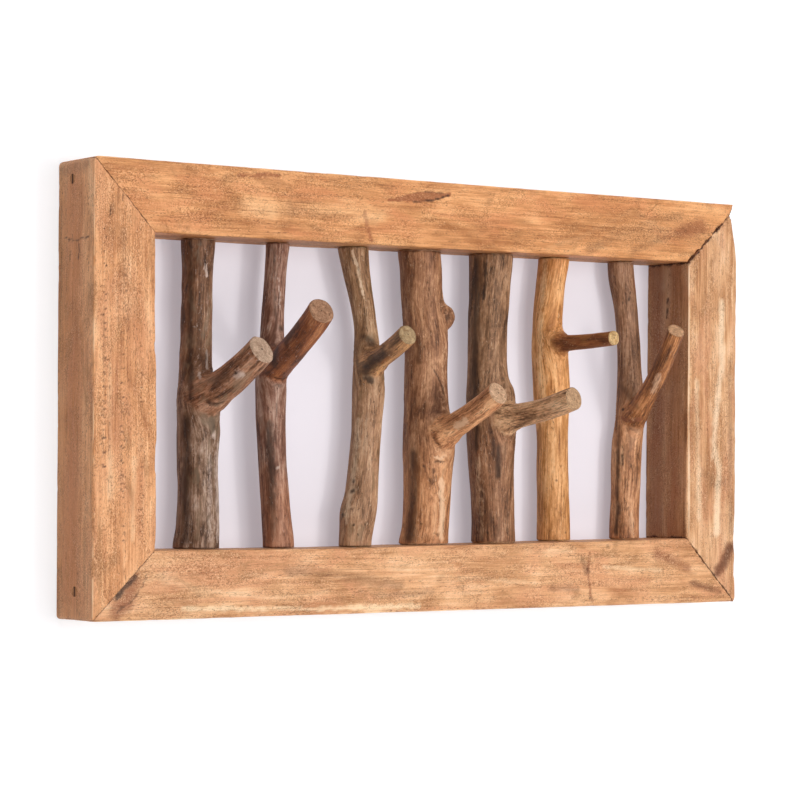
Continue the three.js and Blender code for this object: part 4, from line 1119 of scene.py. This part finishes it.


# Marks on the boards: across from the middle, back from the middle of the depth, and along
# worn sets how pale the arrises get: rubbed wear, partly painted highlight.
BOARD = dict(face=53, pore=srgb(118, 71, 41), red=srgb(144, 80, 48), black=srgb(62, 34, 20), worn=0.75,
             wave=0.16, dotted=0.66, waney=False, dull=0.5, hollows=[])
BOARDS = [
    dict(BOARD, name="top_rail", seed=11, shift=2.0, upright=False, middle=0, inner=(-1, HEAD), keen=1,
         wood=palette((168, 104, 56), (210, 144, 90), (234, 168, 112), (252, 194, 138)),
         rosy=srgb(214, 136, 88), olive=srgb(162, 108, 63), bare=srgb(253, 206, 154),
         red=srgb(154, 86, 50), hollows=plate_hollows(),
         marks=[front(0.8, (8.8, -52), (9.8, -44), warm=2, fray=0.1),
                front(1.7, (10, -43), (11, -36), warm=2, dark=0.2, fray=0.1),
                front(2.7, (11.4, -33), (12.6, -24), warm=2, dark=0.25, fray=0.1),
                front(3.6, (12.8, -22), (14.2, -8), warm=2, dark=0.25, fray=0.1),
                front(2.3, (14.6, -5), (15.4, 1), warm=2, dark=0.25, fray=0.1),
                front(1.1, (15.9, 3), (16.8, 10), warm=2, dark=0.3, fray=0.1),
                front(0.9, (8.6, -27), (10.8, -8), (13.6, 2), (16.2, 9), dark=0.9, fray=0.15),
                front(0.7, (17.4, -16), (18, -6), (17.2, 4), dark=0.6, fray=0.15),
                front(2.6, (-3, -75), (-14, -73), (-25, -68), warm=0.9),
                front(2.2, (20, -196), (21.5, -158), warm=1), front(7, (4, -236), (1, -206), dark=0.25),
                front(13, (-4, -190), (-4, -60), pale=0.45), front(1.6, (-11, -240), (-8, -180), dark=0.35),
                front(1.4, (7, -150), (9, -96), dark=0.4),
                front(9, (-20, 160), (-6, 198), (6, 230), (12, 262), dark=0.4),
                front(6, (-20, 208), (-9, 238), (-3, 258), dark=0.42),
                front(5, (-23, 112), (-10, 152), (13, 204), pale=0.42),
                front(24, (-4, 190), (-4, 290), dark=0.36), front(9, (-1, 262), (6, 286), warm=0.75),
                # Painted shade: a dark band along the underside of the top rail.
                mark(16, (-27, 4, -265), (-27, 4, 265), dark=0.42)],
         cuts=[half_plane(INNER["tl"], OUTER["tl"], up, 0.25),
               half_plane(INNER["tr"], TIP_JOINT, up, 1.2), half_plane(TIP_JOINT, OUTER["tr"], up, 0.4)]),
    dict(BOARD, name="bottom_rail", seed=23, shift=13.0, upright=False, face=54,
         middle=(BOTTOM + OPENING_BOTTOM) / 2, inner=(1, SILL), keen=-1,
         wood=palette((166, 108, 64), (214, 157, 109), (236, 181, 134), (253, 210, 166)),
         rosy=srgb(220, 152, 110), olive=srgb(172, 122, 78), bare=srgb(255, 222, 180),
         marks=[front(3, (6, -287), (-2, -297), (-9, -304), dark=0.8, lift=-0.4),
                front(9, (4, -288), (-12, -295), (-20, -304), warm=0.75),
                front(10, (4, -262), (-6, -226), pale=0.4),
                front(1.2, (8, -277), (-2, -282), (-12, -290), (-20, -304), dark=0.62),
                front(2, (18, 160), (2, 157), (-23, 162), warm=0.8),
                front(5, (13, 152), (3, 156), dark=0.5), front(1.8, (-20, 160), dark=0.9),
                front(4, (-11, 116), (-12, 146), dark=0.45),
                front(7, (8, -150), (4, -99), (-5, -40), dark=0.42),
                front(5, (-13, -66), (-11, -6), dark=0.4),
                # Painted highlight: a pale streak along the lower front edge.
                front(2.6, (-19, -246), (-22, -120), (-22, -20), pale=0.85),
                front(3, (-4, -240), (-12, -170), (-10, -110), pale=0.45),
                front(3.4, (0, 20), (-6, 100), pale=0.5), front(3, (6, 175), (2, 240), pale=0.6),
                front(7, (16, 236), (4, 270), warm=0.7),
                front(5, (-10, 276), (-18, 308), dark=0.5, warm=0.6),
                front(3, (23, 180), dark=0.6), front(1, (14, -192), dark=0.9)],
         cuts=[half_plane(INNER["bl"], OUTER["bl"], down, 0.2),
               half_plane(INNER["br"], OUTER["br"], down, 0.7)]),
    dict(BOARD, name="left_stile", seed=37, shift=27.0, upright=True, middle=LEFT + FACE / 2,
         inner=(1, LEFT_EDGE), keen=-1,
         wood=palette((168, 104, 60), (216, 150, 99), (238, 174, 123), (253, 202, 153)),
         rosy=srgb(214, 148, 106), olive=srgb(168, 118, 74), bare=srgb(254, 214, 170),
         red=srgb(176, 99, 50),
         marks=[front(1.8, (-18.5, -90), (-17.5, -120), (-18, -200), dark=0.4),
                front(1.8, (-7, -60), (-4, -110), (-2, -225), dark=0.4),
                front(9, (0, -30), (2, -90), pale=0.4),
                front(1.5, (3, -50), (4, -150), (6, -252), dark=0.34),
                front(6, (15, -60), (14, -150), (15, -255), warm=0.45),
                front(4, (-12, -130), (-11, -230), pale=0.5), front(3, (10, -200), (8, -262), pale=0.5),
                # Painted shade: a warmer, darker tone over the whole left side of the stile.
                flank(22, (2, -300), (2, 5), warm=0.6),
                flank(1.2, (-5, -38), (-4, -50), dark=0.9), flank(1.1, (8, -44), (9, -52), dark=0.8),
                flank(1.1, (-20, -34), (2, -36), (16, -33), dark=0.8),
                flank(8, (-15, 21), (20, 19), dark=0.4), front(1.2, (-12, -11), (-12, -17), dark=0.9),
                front(1.1, (-1.5, -1), (-1.5, -6), dark=0.8),
                flank(7, (-5, -290), (-3, -312), dark=0.25),
                *pore_column(-17, -24, -206, 0.72), *pore_column(0, -56, -262, 0.66),
                *pore_column(16, -120, -255, 0.5)],
         cuts=[half_plane(INNER["tl"], OUTER["tl"], west, 0.25),
               half_plane(INNER["bl"], OUTER["bl"], west, 0.2)]),
    dict(BOARD, name="right_stile", seed=41, shift=39.0, upright=True, middle=RIGHT - FACE / 2,
         inner=(-1, RIGHT_EDGE), keen=-1, waney=True,
         wood=palette((152, 98, 58), (204, 148, 102), (230, 180, 136), (252, 214, 176)),
         rosy=srgb(208, 144, 106), olive=srgb(166, 118, 78), bare=srgb(255, 226, 190), dull=0.3,
         marks=[flank(2, (0, -58), (1, -73), dark=1),
                front(5, (12, -60), (12, -115), (4, -172), (2, -196), pale=0.75),
                flank(12, (2, -34), (2, -84), pale=0.35),
                front(5, (2, -182), (8, -206), (6, -262), pale=0.8),
                front(4, (-17, -130), (-15, -250), pale=0.55),
                front(8, (-8, -210), (4, -221), (14, -218), dark=0.4),
                front(5, (22, -112), (22, -190), (23, -262), dark=0.42),
                front(7, (22, -276), (14, -290), (8, -296), dark=0.5, warm=0.9),
                front(9, (9, -6), (3, -40), warm=0.35), front(3, (-14, -70), (-13, -110), dark=0.35),
                # Painted shade: a warmer, darker tone over the inner side of the stile.
                flank(17, (-9, -262), (-9, -34), warm=0.6), flank(17, (14, -262), (14, -34), warm=0.7),
                flank(1.5, (24, -262), pale=0.8), flank(1.2, (-8, -245), (-8, -262), pale=0.7)],
         cuts=[half_plane(INNER["tr"], TIP_JOINT, east, 1.2), half_plane(TIP_JOINT, STILE_END, east, 0.5),
               half_plane(INNER["br"], OUTER["br"], east, 0.7)]),
]

# Factors that bring the palettes, by red, green and blue, and the cuts nearer to the photo's colours
TRUNK_TINT = (1.07, 1.0, 0.9)
# The hooks' gain is partly painted light: it lightens them for light that falls on their flanks.
HOOK_TINT = (1.25, 1.15, 1.0)
CUT_GAIN = 1.18
CUT_PALE_GAIN = 1.6

for index, look in enumerate(LOOKS):
    name = f"branch_{index + 1}"
    look = dict(look, marks=MARKS[index],
                upper=tinted(look["upper"], *TRUNK_TINT), lower=tinted(look["lower"], *TRUNK_TINT),
                hook=tinted(look["hook"], *HOOK_TINT),
                cut_light=tuple(c * CUT_GAIN for c in look["cut_light"]),
                cut_mid=tuple(c * CUT_GAIN for c in look["cut_mid"]),
                cut_pale=tuple(c * CUT_PALE_GAIN for c in look["cut_light"]))
    mesh = branch_mesh(index, look)
    bark, end = branch_material(f"{name}_wood", look), cut_material(f"{name}_cut", look)
    piece(f"{name}_visual", mesh, [bark, end], f"{name}_wood", name)

for look in BOARDS:
    name = look["name"]
    materials = [board_material(f"{name}_wood", look), end_material(f"{name}_end", look)]
    piece(f"{name}_visual", board_mesh(look), materials, "frame_wood", name)

plug_wood = plug_material("plug_wood", srgb(150, 102, 66), srgb(122, 80, 52), 0.0)
filler_wood = plug_material("filler_wood", srgb(196, 136, 92), srgb(158, 106, 70), 0.9)
screw_steel = steel_material("screw_steel", (0.55, 0.56, 0.58))
hanger_steel = steel_material("hanger_steel", (0.5, 0.51, 0.52))
for name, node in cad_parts.items():
    if name.startswith("mitre_plug"):
        chosen = filler_wood
    elif "_plug_" in name:
        chosen = plug_wood
    elif "screw" in name:
        chosen = screw_steel
    elif "plate" in name:
        chosen = hanger_steel
    else:
        continue
    node.data.materials.clear()
    node.data.materials.append(chosen)


# The wall, the floor, the light and the camera

def studio_material(name, white, dim, glow):
    """A plain wall. To the camera it is partly lit and partly white of itself; its back is clear."""
    material = bpy.data.materials.new(name)
    material.use_nodes = True
    tree = material.node_tree
    tree.nodes.clear()
    make, link = tree.nodes.new, tree.links.new
    out, own = make("ShaderNodeOutputMaterial"), make("ShaderNodeEmission")
    full, part = make("ShaderNodeBsdfDiffuse"), make("ShaderNodeBsdfDiffuse")
    both, clear = make("ShaderNodeAddShader"), make("ShaderNodeBsdfTransparent")
    path, side = make("ShaderNodeLightPath"), make("ShaderNodeNewGeometry")
    seen, front = make("ShaderNodeMixShader"), make("ShaderNodeMixShader")
    direct, mirrored = make("ShaderNodeMath"), make("ShaderNodeMath")
    direct.operation = mirrored.operation = "MAXIMUM"
    full.inputs[0].default_value = (*white, 1)
    part.inputs[0].default_value = (*dim, 1)
    own.inputs[0].default_value = (*glow, 1)
    link(path.outputs["Is Camera Ray"], direct.inputs[0])
    link(path.outputs["Is Glossy Ray"], direct.inputs[1])
    link(direct.outputs[0], mirrored.inputs[0])
    link(path.outputs["Is Transmission Ray"], mirrored.inputs[1])
    link(part.outputs[0], both.inputs[0])
    link(own.outputs[0], both.inputs[1])
    link(mirrored.outputs[0], seen.inputs[0])
    link(full.outputs[0], seen.inputs[1])
    link(both.outputs[0], seen.inputs[2])
    link(side.outputs["Backfacing"], front.inputs[0])
    link(seen.outputs[0], front.inputs[1])
    link(clear.outputs[0], front.inputs[2])
    link(front.outputs[0], out.inputs[0])
    return material


def stage_mesh(name, points, faces, material):
    mesh = bpy.data.meshes.new(name)
    mesh.from_pydata(points, [], faces)
    mesh.materials.append(material)
    thing = bpy.data.objects.new(name, mesh)
    bpy.context.scene.collection.objects.link(thing)


def lamp(name, place, target, size, power, colour=(1, 1, 1)):
    data = bpy.data.lights.new(name, "AREA")
    data.shape = "RECTANGLE"
    data.size, data.size_y = size
    data.energy = power
    data.color = colour
    thing = bpy.data.objects.new(name, data)
    thing.location = place
    thing.rotation_euler = (Vector(target) - Vector(place)).to_track_quat("-Z", "Y").to_euler()
    bpy.context.scene.collection.objects.link(thing)


wide, tall, ground, gap = 3.0, 2.4, -1.35, 0.0004
round_frame = studio_material("studio_white", (0.86, 0.86, 0.87), (0.42, 0.41, 0.43), (0.68, 0.68, 0.68))
in_frame = studio_material("studio_wall", (0.6, 0.58, 0.57), (0.52, 0.505, 0.54), (0.315, 0.285, 0.31))
outer_hole = [(-0.3235, -0.321), (0.3235, -0.321), (0.3235, 0.024), (-0.3235, 0.024)]
inner_hole = [(-0.275, -0.2735), (0.275, -0.2735), (0.275, -0.024), (-0.275, -0.024)]
rim = [(-wide, ground), (wide, ground), (wide, tall), (-wide, tall)]
stage_mesh("wall", [(x, gap, z) for x, z in rim + outer_hole],
           [(k, (k + 1) % 4, 4 + (k + 1) % 4, 4 + k) for k in range(4)], round_frame)
stage_mesh("wall_in_frame", [(x, gap, z) for x, z in inner_hole], [(0, 1, 2, 3)], in_frame)
stage_mesh("floor", [(-wide, -4, ground), (wide, -4, ground), (wide, gap, ground), (-wide, gap, ground)],
           [(0, 1, 2, 3)], round_frame)

middle = Vector((0, -0.03, -0.148))
lamp("key", middle + Vector((0.13, -0.99, 0.05)) * 2.4, middle, (1.7, 1.4), 30, (1, 0.985, 0.96))
lamp("beam", middle + Vector((0.25, -0.97, 0.0)) * 2.4, middle, (0.35, 0.35), 12, (1, 0.985, 0.96))
lamp("overhead", middle + Vector((-0.2, -0.6, 0.8)) * 2.4, middle, (1.4, 0.9), 13)

world = bpy.data.worlds.new("studio")
bpy.context.scene.world = world
world.use_nodes = True
tree = world.node_tree
tree.nodes.clear()
sky_out, plain, seen = (tree.nodes.new(k) for k in (
    "ShaderNodeOutputWorld", "ShaderNodeBackground", "ShaderNodeBackground"))
choose, path = tree.nodes.new("ShaderNodeMixShader"), tree.nodes.new("ShaderNodeLightPath")
plain.inputs[0].default_value = (0.98, 0.98, 1, 1)
plain.inputs[1].default_value = 0.27
seen.inputs[0].default_value = (1, 1, 1, 1)
seen.inputs[1].default_value = 1.0
tree.links.new(path.outputs["Is Camera Ray"], choose.inputs[0])
tree.links.new(plain.outputs[0], choose.inputs[1])
tree.links.new(seen.outputs[0], choose.inputs[2])
tree.links.new(choose.outputs[0], sky_out.inputs[0])

yaw, pitch, roll = (math.radians(a) for a in (36.2852, 1.4867, 0.1345))
forward = Vector((math.sin(yaw) * math.cos(pitch), math.cos(yaw) * math.cos(pitch), math.sin(pitch)))
level = Vector((math.cos(yaw), -math.sin(yaw), 0))
above = level.cross(forward)
right = level * math.cos(roll) + above * math.sin(roll)
above = above * math.cos(roll) - level * math.sin(roll)
camera = bpy.data.objects.new("camera", bpy.data.cameras.new("camera"))
camera.data.lens = 130.5255
camera.data.sensor_width = 36
camera.matrix_world = Matrix.Translation(Vector((-1.42456, -1.93975, -0.2131))) @ Matrix(
    (right, above, -forward)).transposed().to_4x4()
bpy.context.scene.collection.objects.link(camera)
bpy.context.scene.camera = camera
bpy.context.scene.view_settings.view_transform = "Standard"
